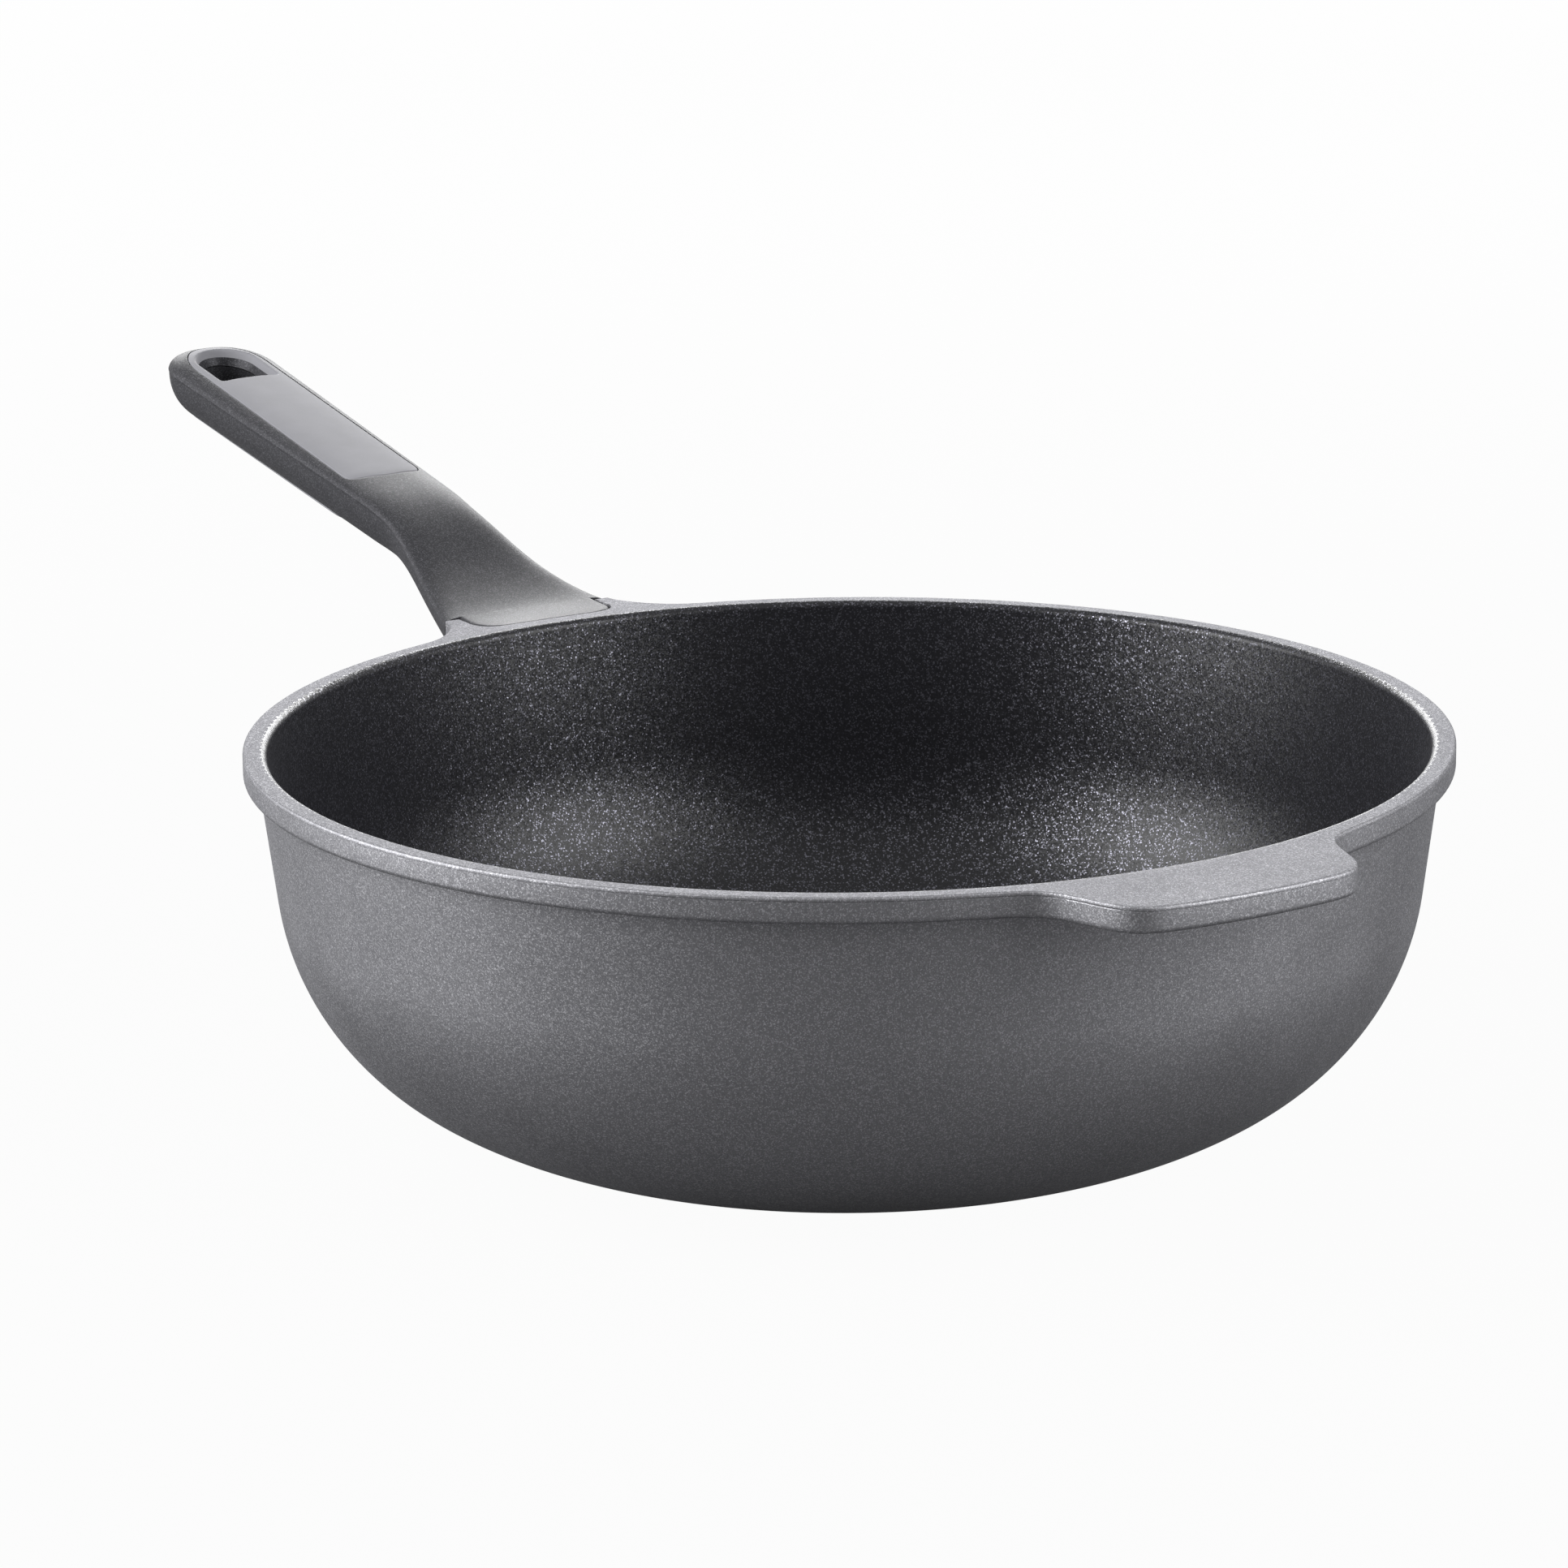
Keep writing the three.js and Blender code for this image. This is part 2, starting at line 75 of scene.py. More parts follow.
# Helper ear
EAR_REACH = 23.0
EAR_HALF_ANGLE = radians(12.8)
EAR_SHARPNESS = 10.5

# Handle root of the casting and the tongue's pocket in it
ROOT_BACK = 139.0
ROOT_FLARE = 12.5
ROOT_FLARE_POWER = 1.7
ROOT_FLARE_LIMIT = 1.8
ROOT_FLANK_TAIL = 14.0
ROOT_FAIRING = 9.0
ROOT_FAIRING_LIMIT = 1.4
ROOT_BLEND = 1.2
POCKET_WALL = 0.12
POCKET_HALF_ANGLE = radians(7.95)

# Handle
TONGUE_FRONT = 144.5
TONGUE_HALF_WIDTH = 20.0
TONGUE_CORNER = 6.0
TONGUE_THICKNESS = 3.0
TONGUE_CREST_SHARE = 0.6
TONGUE_EDGE_POWER = 40
SHOULDER = 157.6
SHOULDER_HALF_WIDTH = 24.0
SHOULDER_RIDGE_DROP = 1.95
SHOULDER_DEPTH = 11.7
SHOULDER_TOP_POWER = 12.0
TAPER_LENGTH = 53.0
TAPER_POWER = 1.4
NECK_LENGTH = 66.4
NECK_RISE = 20.3
NECK_START_REACH = 34.6
NECK_START_SLOPE = 0.173
NECK_START_EASE = 4.0
NECK_END_REACH = 30.3
GRIP_LENGTH = 121.4
GRIP_SLOPE = 0.1613
GRIP_HALF_WIDTH = 13.5
GRIP_FLARE = 0.0197
CROWN_GAIN = 0.013
GRIP_DEPTH = 13.55
GRIP_TOP_POWER = 2.6
UNDERSIDE_POWER = 2.5
TIP_LENGTH = 17.0
TIP_POWER = 2.2
MOULD_LINE_HEIGHT = 0.16
MOULD_LINE_WIDTH = 0.28
MOULD_LINE_START = 6.0

# Soft inserts and the hanging hole, with the inserts' floors as depths under the handle's ridge
TOP_INSERT_HALF_WIDTH = 11.3
TOP_INSERT_FRONT = 233.3
TOP_INSERT_BULGE = 1.6
TOP_INSERT_TIP_INSET = 3.6
TOP_INSERT_END_LENGTH = 16.5
TOP_INSERT_FLOOR = 0.5
BOTTOM_INSERT_HALF_WIDTH = 10.1
BOTTOM_INSERT_FRONT = 245.0
BOTTOM_INSERT_TIP_INSET = 3.7
BOTTOM_INSERT_END_LENGTH = 9.0
BOTTOM_INSERT_FLOOR = 8.2
BOTTOM_INSERT_PROUD = 0.4
INSERT_CORNER = 5.0
INSERT_GAP = 0.2
INSERT_ROUNDING = 0.4
LIP_ROUNDING = 0.25
SEAT_GAP = 0.3
HOLE_TIP_INSET = 8.9
HOLE_LENGTH = 20.7
HOLE_HALF_WIDTH = 7.2
HOLE_FUNNEL = 1.8
HOLE_NEAR_CORNER = 2.0
HOLE_FAR_ROUNDING = 9.0
HOLE_EDGE_ROUNDING = 0.7
HOLE_SOFT_SHARE = 0.4

# Screw in the underside of the neck
SCREW_FROM_SHOULDER = 14.4
TANG_SLOPE = 0.3
TANG_THICKNESS = 4.5
TANG_ROOT_DROP = 5.95
SCREW_SEAT_WALL = 1.5
SCREW_SHANK_RADIUS = 2.5
SCREW_HEAD_RADIUS = 4.4
SCREW_HEAD_HEIGHT = 2.0
SCREW_ENGAGEMENT = 4.0
SCREW_CROWN = 0.7
SCREW_HEAD_CHAMFER = 0.2
SCREW_POINT_CHAMFER = 0.4
DRIVE_ARM = 2.3
DRIVE_HALF_WIDTH = 0.55
DRIVE_DEPTH = 1.3
DRIVE_SIDE_RUN = 0.2
DRIVE_END_RUN = 0.5
WASHER_RADIUS = 4.8
WASHER_THICKNESS = 0.8
WASHER_CHAMFER = 0.12

# Finishes: the range that noise mostly keeps to, sizes of patterns, shares of flake and heights of bumps
NOISE_RANGE = {"From Min": 0.3, "From Max": 0.7}
PAINT_CLOUD = 20.0
PAINT_GRAIN = 0.714
PAINT_GRAIN_HEIGHT = 0.04
PAINT_FLAKE = 0.25
PAINT_FLAKE_SHARE = 0.35
PAINT_GLOSS_SPREAD = 0.03
COATING_FLAKE = 0.32
COATING_FLAKE_SHARE = 0.22
COATING_FLAKE_LEAN = 0.18
COATING_PEBBLE = 1.11
COATING_PEBBLE_HEIGHT = 0.1
PAD_CLOUD = 8.33
PAD_TOOTH = 0.333
PAD_TOOTH_HEIGHT = 0.05
BRUSH_LINE = 0.286
BRUSH_LINE_HEIGHT = 0.03
STEEL_STAIN = 12.5

# Fineness of all meshes: the weld's cells, and rounds in which a meeting line settles
WELD = 0.002
WELD_SHIFT = 0.37
SETTLE_ROUNDS = 8

# Fineness of the bowl: points along each stretch of its profile, the power by which they crowd towards
# the join under the rim, the stretches of its turn as angles from the root or the ear, and points in each
FLOOR_POINTS = 6
BOWL_ARC_POINTS = 26
INNER_WALL_POINTS = 8
OUTER_WALL_POINTS = 16
PLATE_UNDERSIDE_POINTS = 14
RIM_CROWDING = 1.8
ROUNDING_POINTS = 8
UPPER_EDGE_POINTS = 5
TONGUE_POCKET_POINTS = 16
RIM_TOP_POINTS = 6
ROOT_FLANK_POINTS = 90
POCKET_SIDE = radians(7.1), radians(8.0)
ROOT_STRETCH = radians(20)
EAR_STRETCH = radians(26)
POCKET_TURN_POINTS = 26
POCKET_SIDE_TURN_POINTS = 26
ROOT_TURN_POINTS = 54
BOWL_TURN_POINTS = 92
EAR_TURN_POINTS = 64
LINING_TURN_POINTS = 361

# Fineness of the handle: points along each stretch, powers by which they crowd towards its edge, the
# stretch by the screw, and how points near the screw's seat are gathered on its circle
HANDLE_SIDE_POINTS = 57
HANDLE_SIDE_CROWDING = 3.5
TONGUE_CORNER_POINTS = 14
TONGUE_SIDE_POINTS = 9
NECK_CURVE_POINTS = 400
NECK_START_POINTS = 14
NECK_SCREW_POINTS = 46
NECK_END_POINTS = 76
GRIP_SIDE_POINTS = 104
GRIP_TIP_POINTS = 48
INSERT_POCKET_POINTS = 8
LIP_POINTS = 5
GRIP_TOP_POINTS = 18
GRIP_TOP_CROWDING = 2.0
GRIP_UNDERSIDE_POINTS = 40
GRIP_UNDERSIDE_CROWDING = 2.6
SCREW_STRETCH_BACK = 7.0
SCREW_STRETCH_AHEAD = 8.0
SEAT_GATHER = 0.5
SEAT_GATHER_REACH = 3.0
SEAT_GATHER_GAP = 0.01

# Fineness of the inserts and the hole: points along each stretch, and the power by which they crowd
# towards the hole
PLAN_SIDE_POINTS = 160
PLAN_END_POINTS = 90
PLAN_CURVE_POINTS = 40
PLAN_CORNER_POINTS = 16
HOLE_SIDE_POINTS = 24
PAD_EDGE_POINTS = 6
PAD_FACE_POINTS = 36
PAD_FACE_CROWDING = 1.5
HOLE_BRIM_POINTS = 6
HOLE_WALL_POINTS = 5

# Fineness of the screw and the washer: points round each, and from the middle of the screw's face out
SCREW_TURN_POINTS = 145
SCREW_FACE_POINTS = 60
WASHER_TURN_POINTS = 97

# Places that follow
RIM_HEIGHT = (
    FLANGE_HEIGHT + STRAIGHT_WALL
    + UPPER_BOWL_RADIUS * (np.sin(BOWL_BREAK) - np.sin(WALL_DRAFT))
    + LOWER_BOWL_RADIUS * (np.sin(BASE_MEET) - np.sin(BOWL_BREAK))
)
WALL_TOP = RIM_HEIGHT - FLANGE_HEIGHT
WALL_TOP_RADIUS = RIM_RADIUS - FLANGE_OVERHANG
TONGUE_MIDDLE = RIM_HEIGHT - TONGUE_CREST_SHARE * TONGUE_THICKNESS
POCKET_FRONT = TONGUE_FRONT - SEAT_GAP
POCKET_HALF_WIDTH = TONGUE_HALF_WIDTH + SEAT_GAP
POCKET_DEPTH = TONGUE_THICKNESS + SEAT_GAP
ROOT_END = SHOULDER - SEAT_GAP
NECK_END = SHOULDER + NECK_LENGTH
HANDLE_END = NECK_END + GRIP_LENGTH
TIP_START = HANDLE_END - TIP_LENGTH
SHOULDER_RIDGE = RIM_HEIGHT - SHOULDER_RIDGE_DROP
NECK_END_RIDGE = SHOULDER_RIDGE + NECK_RISE
GRIP_ANGLE = np.arctan(GRIP_SLOPE)
HOLE_CENTRE = HANDLE_END - HOLE_TIP_INSET - HOLE_LENGTH / 2
NECK_SEAM = 0.5 * (NECK_END + TOP_INSERT_FRONT)
GRIP_LEAN = np.sin(GRIP_ANGLE)
SCREW_SEAT = -(TANG_THICKNESS / 2 + SEAT_GAP + SCREW_SEAT_WALL)
WASHER_TOP = SCREW_SEAT - SEAT_GAP
SCREW_HEAD_TOP = WASHER_TOP - WASHER_THICKNESS - SEAT_GAP
SCREW_HEIGHT = RIM_HEIGHT - TANG_ROOT_DROP + TANG_SLOPE * SCREW_FROM_SHOULDER
SCREW_CENTRE = np.array([SHOULDER + SCREW_FROM_SHOULDER, 0, SCREW_HEIGHT])
TANG_ANGLE = np.arctan(TANG_SLOPE)
SCREW_AXIS = np.array([-np.sin(TANG_ANGLE), 0, np.cos(TANG_ANGLE)])


def smooth(value):
    """Smooth step: 0 below 0, 1 above 1, and three squares less two cubes between."""
    share = np.clip(value, 0, 1)
    return share * share * (3 - 2 * share)


def ease(first, last, count, power):
    """Numbers from first to last that crowd towards last: the gap left shrinks as a power."""
    return last + (first - last) * np.linspace(1, 0, count) ** power


def build(name, sheets, materials, nodes, crease=40):
    """One closed mesh from grids of points. Neighbours in rows and columns make a quad, points that
    fall in one weld cell are joined, quads that shrink to a line are dropped, and faces are turned
    outwards. The cells are shifted, so that round sizes don't lie on their borders. Each sheet wears
    the material of its number, and those past the last material wear the last."""
    points = np.concatenate([sheet.reshape(-1, 3) for sheet in sheets])
    cells = np.floor(points / WELD + WELD_SHIFT).astype(np.int64)
    _, first, joined = np.unique(cells, axis=0, return_index=True, return_inverse=True)
    quads, wears, start = [], [], 0
    for number, sheet in enumerate(sheets):
        rows, columns = sheet.shape[:2]
        index = start + np.arange(rows * columns).reshape(rows, columns)
        ring = [index[:-1, :-1], index[:-1, 1:], index[1:, 1:], index[1:, :-1]]
        quads.append(np.stack(ring, -1).reshape(-1, 4))
        wears.append(np.full(len(quads[-1]), min(number, len(materials) - 1)))
        start += rows * columns
    corners = joined.reshape(-1)[np.concatenate(quads)]
    kept = corners != np.roll(corners, 1, axis=1)
    faces = kept.sum(1) > 2
    corners, kept, wears = corners[faces], kept[faces], np.concatenate(wears)[faces]
    sides = kept.sum(1)
    mesh = bpy.data.meshes.new(name)
    mesh.vertices.add(len(first))
    mesh.vertices.foreach_set("co", (points[first] * MM).astype(np.float32).ravel())
    mesh.loops.add(int(sides.sum()))
    mesh.loops.foreach_set("vertex_index", corners[kept].astype(np.int32))
    mesh.polygons.add(len(sides))
    mesh.polygons.foreach_set("loop_start", (np.cumsum(sides) - sides).astype(np.int32))
    mesh.polygons.foreach_set("material_index", wears.astype(np.int32))
    mesh.update(calc_edges=True)
    shell = bmesh.new()
    shell.from_mesh(mesh)
    bmesh.ops.recalc_face_normals(shell, faces=shell.faces)
    shell.to_mesh(mesh)
    shell.free()
    mesh.shade_smooth()
    mesh.set_sharp_from_angle(angle=radians(crease))
    for material in materials:
        mesh.materials.append(material)
    part = bpy.data.objects.new(name, mesh)
    bpy.context.scene.collection.objects.link(part)
    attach(part, "root")
    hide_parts(*nodes)


def turned(radius, height, angle):
    """Points at a radius, height and angle, each an array of rows by columns, as X, Y, Z."""
    return np.stack(np.broadcast_arrays(radius * np.cos(angle), radius * np.sin(angle), height), -1)


def wall_radius(height, inset):
    """Radius of the drafted upper wall at a height, drawn in square to the wall by the inset."""
    return WALL_TOP_RADIUS - inset / np.cos(WALL_DRAFT) - (WALL_TOP - height) * np.tan(WALL_DRAFT)


def bowl_arcs(inset, floor):
    """Radius and height up the curved lower wall: an arc that leaves the floor, then a tighter arc
    tangent to it that ends in the draft of the upper wall."""
    bend_radius = WALL_TOP_RADIUS - STRAIGHT_WALL * np.tan(WALL_DRAFT)
    bend_height = WALL_TOP - STRAIGHT_WALL
    upper_radius = bend_radius - UPPER_BOWL_RADIUS * np.cos(WALL_DRAFT)
    upper_height = bend_height + UPPER_BOWL_RADIUS * np.sin(WALL_DRAFT)
    step = UPPER_BOWL_RADIUS - LOWER_BOWL_RADIUS
    lower_radius = upper_radius + step * np.cos(BOWL_BREAK)
    lower_height = upper_height - step * np.sin(BOWL_BREAK)
    floor_angle = np.arcsin((lower_height - floor) / (LOWER_BOWL_RADIUS - inset))
    lower = np.linspace(floor_angle, BOWL_BREAK, BOWL_ARC_POINTS)
    upper = np.linspace(BOWL_BREAK, WALL_DRAFT, BOWL_ARC_POINTS)[1:]
    radius = np.concatenate([
        lower_radius + (LOWER_BOWL_RADIUS - inset) * np.cos(lower),
        upper_radius + (UPPER_BOWL_RADIUS - inset) * np.cos(upper),
    ])
    height = np.concatenate([
        lower_height - (LOWER_BOWL_RADIUS - inset) * np.sin(lower),
        upper_height - (UPPER_BOWL_RADIUS - inset) * np.sin(upper),
    ])
    return radius, height


def inner_profile(inset):
    """Radius and height from the rim's inner edge over its rounding, down the inside of the wall and
    along the floor to the axis, drawn in by the inset from the outer wall."""
    floor = FLOOR_THICKNESS + inset - WALL_THICKNESS
    top = RIM_HEIGHT - RIM_INNER_ROUNDING
    turn = np.linspace(0, np.pi / 2, ROUNDING_POINTS)
    rim_inner = RIM_RADIUS - RIM_TOP_WIDTH
    across = rim_inner - wall_radius(top, inset)
    arc_radius, arc_height = bowl_arcs(inset, floor)
    straight = np.linspace(top, arc_height[-1], INNER_WALL_POINTS)[1:-1]
    floor_radius = np.linspace(arc_radius[0], 0, FLOOR_POINTS)[1:]
    radius = np.concatenate([
        rim_inner - across * np.sin(turn), wall_radius(straight, inset), arc_radius[::-1], floor_radius,
    ])
    height = np.concatenate([
        top + RIM_INNER_ROUNDING * np.cos(turn), straight, arc_height[::-1], floor + 0 * floor_radius,
    ])
    return radius, height


def ring_angles():
    """Angles round the bowl, a degree and a half apart and closer at the ear and the handle root."""
    side = np.concatenate([
        np.linspace(0, POCKET_SIDE[0], POCKET_TURN_POINTS)[1:-1],
        np.linspace(*POCKET_SIDE, POCKET_SIDE_TURN_POINTS),
        np.linspace(POCKET_SIDE[1], ROOT_STRETCH, ROOT_TURN_POINTS)[1:],
        np.linspace(ROOT_STRETCH, np.pi - EAR_STRETCH, BOWL_TURN_POINTS)[1:-1],
        np.linspace(np.pi - EAR_STRETCH, np.pi, EAR_TURN_POINTS),
    ])
    return np.concatenate([-side[::-1], [0], side])


def root_width(x):
    """Half width of the handle root: it flares back into the bowl as a power of the way back."""
    back = np.clip((ROOT_END - x) / (ROOT_END - ROOT_BACK), 0, ROOT_FLARE_LIMIT)
    return SHOULDER_HALF_WIDTH + ROOT_FLARE * back ** ROOT_FLARE_POWER


def rim_outline(angle):
    """Outer radius of the rim plate: the round flange, plus the ear, a bell of the angle with a steep
    edge, blended with the straight end and the flared flanks of the handle root."""
    away = np.pi - np.abs(angle)
    ear = EAR_REACH / (1 + (away / EAR_HALF_ANGLE) ** EAR_SHARPNESS)
    x = np.linspace(ROOT_END, ROOT_BACK - ROOT_FLANK_TAIL, ROOT_FLANK_POINTS)
    flank_angle = np.arctan2(root_width(x), x)
    flank = np.interp(np.abs(angle), flank_angle, np.hypot(x, root_width(x)), right=0)
    end = np.where(np.abs(angle) < flank_angle[0], ROOT_END / np.maximum(np.cos(angle), TINY), flank)
    return ROOT_BLEND * np.logaddexp((RIM_RADIUS + ear) / ROOT_BLEND, end / ROOT_BLEND)


def underside(radius, angle):
    """Height under the rim plate: the flat flange, blended with the belly of the handle root, whose
    section is a superellipse that deepens back towards the wall."""
    x, w = radius * np.cos(angle), radius * np.sin(angle)
    back = np.clip((ROOT_END - x) / (ROOT_END - ROOT_BACK), 0, ROOT_FAIRING_LIMIT)
    depth = SHOULDER_DEPTH + ROOT_FAIRING * back ** 2
    across = np.clip(np.abs(w) / root_width(x), 0, 1)
    belly = SHOULDER_RIDGE - depth * (1 - across ** UNDERSIDE_POWER) ** (1 / UNDERSIDE_POWER)
    belly = np.where(x > 0, belly, RIM_HEIGHT)
    return -np.logaddexp(-WALL_TOP, -belly)


def pocket_front(angle):
    """Radius at which the tongue's pocket starts: a straight front wall with two round corners."""
    x = np.full_like(angle, POCKET_FRONT)
    for _ in range(SETTLE_ROUNDS):
        past = np.clip(np.abs(x * np.tan(angle)) - POCKET_HALF_WIDTH + TONGUE_CORNER, 0, TONGUE_CORNER)
        x = POCKET_FRONT + TONGUE_CORNER - np.sqrt(TONGUE_CORNER ** 2 - past ** 2)
    return x / np.cos(angle)


def pocket_drop(width):
    """Depth of the tongue's pocket at a distance to the side: full inside, with steep smooth sides."""
    return POCKET_DEPTH * smooth((POCKET_HALF_WIDTH - np.abs(width)) / POCKET_WALL)


def level_rows(angle, radius, height):
    """Rows of a plain turned profile: each keeps its radius and its height all round."""
    return [(r + 0 * angle, z + 0 * angle) for r, z in zip(radius, height)]


def outside_rows(angle, lip):
    """Rows up the outside: the base with the disc's recess, the bowl's arcs, the straight wall up to
    where it meets the rim plate's underside, and along that underside to the lip."""
    base_radius, base_height = bowl_arcs(0, 0)
    recess = base_radius[0] - BASE_BORDER
    recess_radius = 0, recess, recess, recess + DISC_RECESS_CHAMFER
    recess_height = DISC_RECESS_DEPTH, DISC_RECESS_DEPTH, DISC_RECESS_CHAMFER, 0
    rows = level_rows(angle, [*recess_radius, *base_radius], [*recess_height, *base_height])
    join = WALL_TOP + 0 * angle
    for _ in range(SETTLE_ROUNDS):
        join = underside(wall_radius(join, 0), angle)
    for share in ease(0, 1, OUTER_WALL_POINTS, RIM_CROWDING)[1:]:
        z = base_height[-1] + share * (join - base_height[-1])
        rows.append((wall_radius(z, 0), z))
    wall = wall_radius(join, 0)
    for share in ease(1, 0, PLATE_UNDERSIDE_POINTS, RIM_CROWDING)[::-1][1:]:
        r = wall + share * (lip - wall)
        rows.append((r, underside(r, angle)))
    return rows


def edge_rows(angle, outline, lip, edge):
    """Rows up the rim plate's edge: the rounded lip, a fine groove and the rounded upper edge, which
    is lower where the tongue's pocket opens through it."""
    low = underside(lip, angle)
    high = RIM_HEIGHT - np.where(np.cos(angle) > 0, pocket_drop(outline * np.sin(angle)), 0)
    rows = []
    for turn in np.linspace(0, np.pi / 2, ROUNDING_POINTS)[1:]:
        out, up = np.sin(turn), 1 - np.cos(turn)
        rows.append((lip + LOWER_EDGE_ROUNDING * out, low + LOWER_EDGE_ROUNDING * up))
    mouth, floor = EDGE_GROOVE_HALF_MOUTH, EDGE_GROOVE_HALF_FLOOR
    for rise, inward in ((-2 * mouth, 0), (-mouth, 0), (-floor, 1), (floor, 1), (mouth, 0)):
        rows.append((outline - EDGE_GROOVE_DEPTH * inward, high - EDGE_GROOVE_DROP + rise))
    for turn in np.linspace(0, np.pi / 2, UPPER_EDGE_POINTS):
        rows.append((edge + EDGE_ROUNDING * np.cos(turn), high - EDGE_ROUNDING * (1 - np.sin(turn))))
    return rows


def top_rows(angle, edge, inner):
    """Rows across the rim plate's top, from its edge to the rim's inner edge: sunk in the tongue's pocket
    as far as its front wall, and flat elsewhere."""
    in_pocket = np.abs(angle) < POCKET_HALF_ANGLE
    front = np.where(in_pocket, pocket_front(np.where(in_pocket, angle, 0)), 0.5 * (edge + inner))
    rows = []
    for share in np.linspace(0, 1, TONGUE_POCKET_POINTS)[1:]:
        r = edge + share * (front - edge)
        rows.append((r, RIM_HEIGHT - np.where(in_pocket, pocket_drop(r * np.sin(angle)), 0)))
    for share in np.linspace(0, 1, RIM_TOP_POINTS)[:-1]:
        rows.append((front + share * (inner - front), RIM_HEIGHT + 0 * angle))
    return rows


def casting():
    """The casting as one profile carried round the bowl: up the outside, over the rim plate's edge,
    across its top and down the inside."""
    angle = ring_angles()
    outline = rim_outline(angle)
    lip = outline - LOWER_EDGE_ROUNDING
    edge = outline - EDGE_ROUNDING
    inner_radius, inner_height = inner_profile(WALL_THICKNESS)
    rows = outside_rows(angle, lip) + edge_rows(angle, outline, lip, edge)
    rows += top_rows(angle, edge, inner_radius[0])
    rows += level_rows(angle, inner_radius, inner_height)
    radius, height = np.moveaxis(np.array(rows), 1, 0)
    return turned(radius, height, angle)


def lining():
    """The coating as a thin shell: the inside of the bowl, raised by the coating's thickness, which
    fades in from the rim's inner edge, and back along the wall just under it."""
    angle = np.linspace(-np.pi, np.pi, LINING_TURN_POINTS)
    radius, height = inner_profile(WALL_THICKNESS)
    raised_radius, raised_height = inner_profile(WALL_THICKNESS + COATING)
    grown = smooth(np.linspace(0, len(radius) / COATING_FADE_ROWS, len(radius)))
    under_radius, under_height = inner_profile(WALL_THICKNESS - COATING)
    radius = np.concatenate([radius + grown * (raised_radius - radius), under_radius[::-1]])
    height = np.concatenate([height + grown * (raised_height - height), under_height[::-1]])
    radius[-1], height[-1] = radius[0], height[0]
    return turned(radius[:, None], height[:, None], angle[None, :])


def ridge(x):
    """Height of the handle's side ridge: a Bezier S-curve up the neck, then the straight grip."""
    share = np.linspace(0, 1, NECK_CURVE_POINTS)
    left = 1 - share
    weights = left ** 3, 3 * left ** 2 * share, 3 * left * share ** 2, share ** 3
    start_reach = SHOULDER + NECK_START_REACH, SHOULDER_RIDGE + NECK_START_REACH * NECK_START_SLOPE
    end_reach = NECK_END - NECK_END_REACH, NECK_END_RIDGE - NECK_END_REACH * GRIP_SLOPE
    path_x = np.dot((SHOULDER, start_reach[0], end_reach[0], NECK_END), weights)
    path_z = np.dot((SHOULDER_RIDGE, start_reach[1], end_reach[1], NECK_END_RIDGE), weights)
    straight = NECK_END_RIDGE + GRIP_SLOPE * (x - NECK_END)
    return np.where(x < NECK_END, np.interp(x, path_x, path_z), straight)


def tip_shrink(x):
    """Share of the grip's section that is left at the rounded tip, a superellipse along the handle."""
    share = np.clip((x - TIP_START) / TIP_LENGTH, 0, 1)
    return (1 - share ** TIP_POWER) ** (1 / TIP_POWER)


def half_width(x):
    """Half width of the handle: a slow straight flare, plus a taper from the shoulder that fades as a
    power, all shrunk at the tip."""
    flared = GRIP_HALF_WIDTH + GRIP_FLARE * (x - NECK_END)
    at_shoulder = GRIP_HALF_WIDTH + GRIP_FLARE * (SHOULDER - NECK_END)
    left = np.clip(1 - (x - SHOULDER) / TAPER_LENGTH, 0, 1)
    return (flared + (SHOULDER_HALF_WIDTH - at_shoulder) * left ** TAPER_POWER) * tip_shrink(x)


def crown(x):
    """Rise of the handle's top over its ridge, which grows evenly towards the tip and shrinks there."""
    return (SHOULDER_RIDGE_DROP + CROWN_GAIN * (x - SHOULDER)) * tip_shrink(x)


def shoulder_ease(x):
    """Rise that rounds the bend between the flat tongue and the sloping neck: a soft ramp less a
    sharp one."""
    past = (x - SHOULDER) / NECK_START_EASE
    return NECK_START_SLOPE * NECK_START_EASE * (np.logaddexp(0, past) - np.maximum(past, 0))


def handle_top(x, w):
    """Height of the handle's top: a superellipse across, squarer at the shoulder than on the grip, over
    the ridge and the eased bend at the shoulder."""
    along = np.clip((x - SHOULDER) / NECK_LENGTH, 0, 1)
    power = GRIP_TOP_POWER + (SHOULDER_TOP_POWER - GRIP_TOP_POWER) * (1 - along) ** 2
    across = np.clip(np.abs(w) / np.maximum(half_width(x), TINY), 0, 1)
    return ridge(x) + (crown(x) + shoulder_ease(x)) * np.sqrt(1 - across ** power)


def handle_bottom(x, w):
    """Height of the handle's underside: a superellipse across, deeper on the grip than on the neck."""
    along = np.clip((x - SHOULDER) / NECK_LENGTH, 0, 1)
    depth = (SHOULDER_DEPTH + (GRIP_DEPTH - SHOULDER_DEPTH) * smooth(along ** 3)) * tip_shrink(x)
    across = np.clip(np.abs(w) / np.maximum(half_width(x), TINY), 0, 1)
    return ridge(x) - depth * (1 - across ** UNDERSIDE_POWER) ** (1 / UNDERSIDE_POWER)


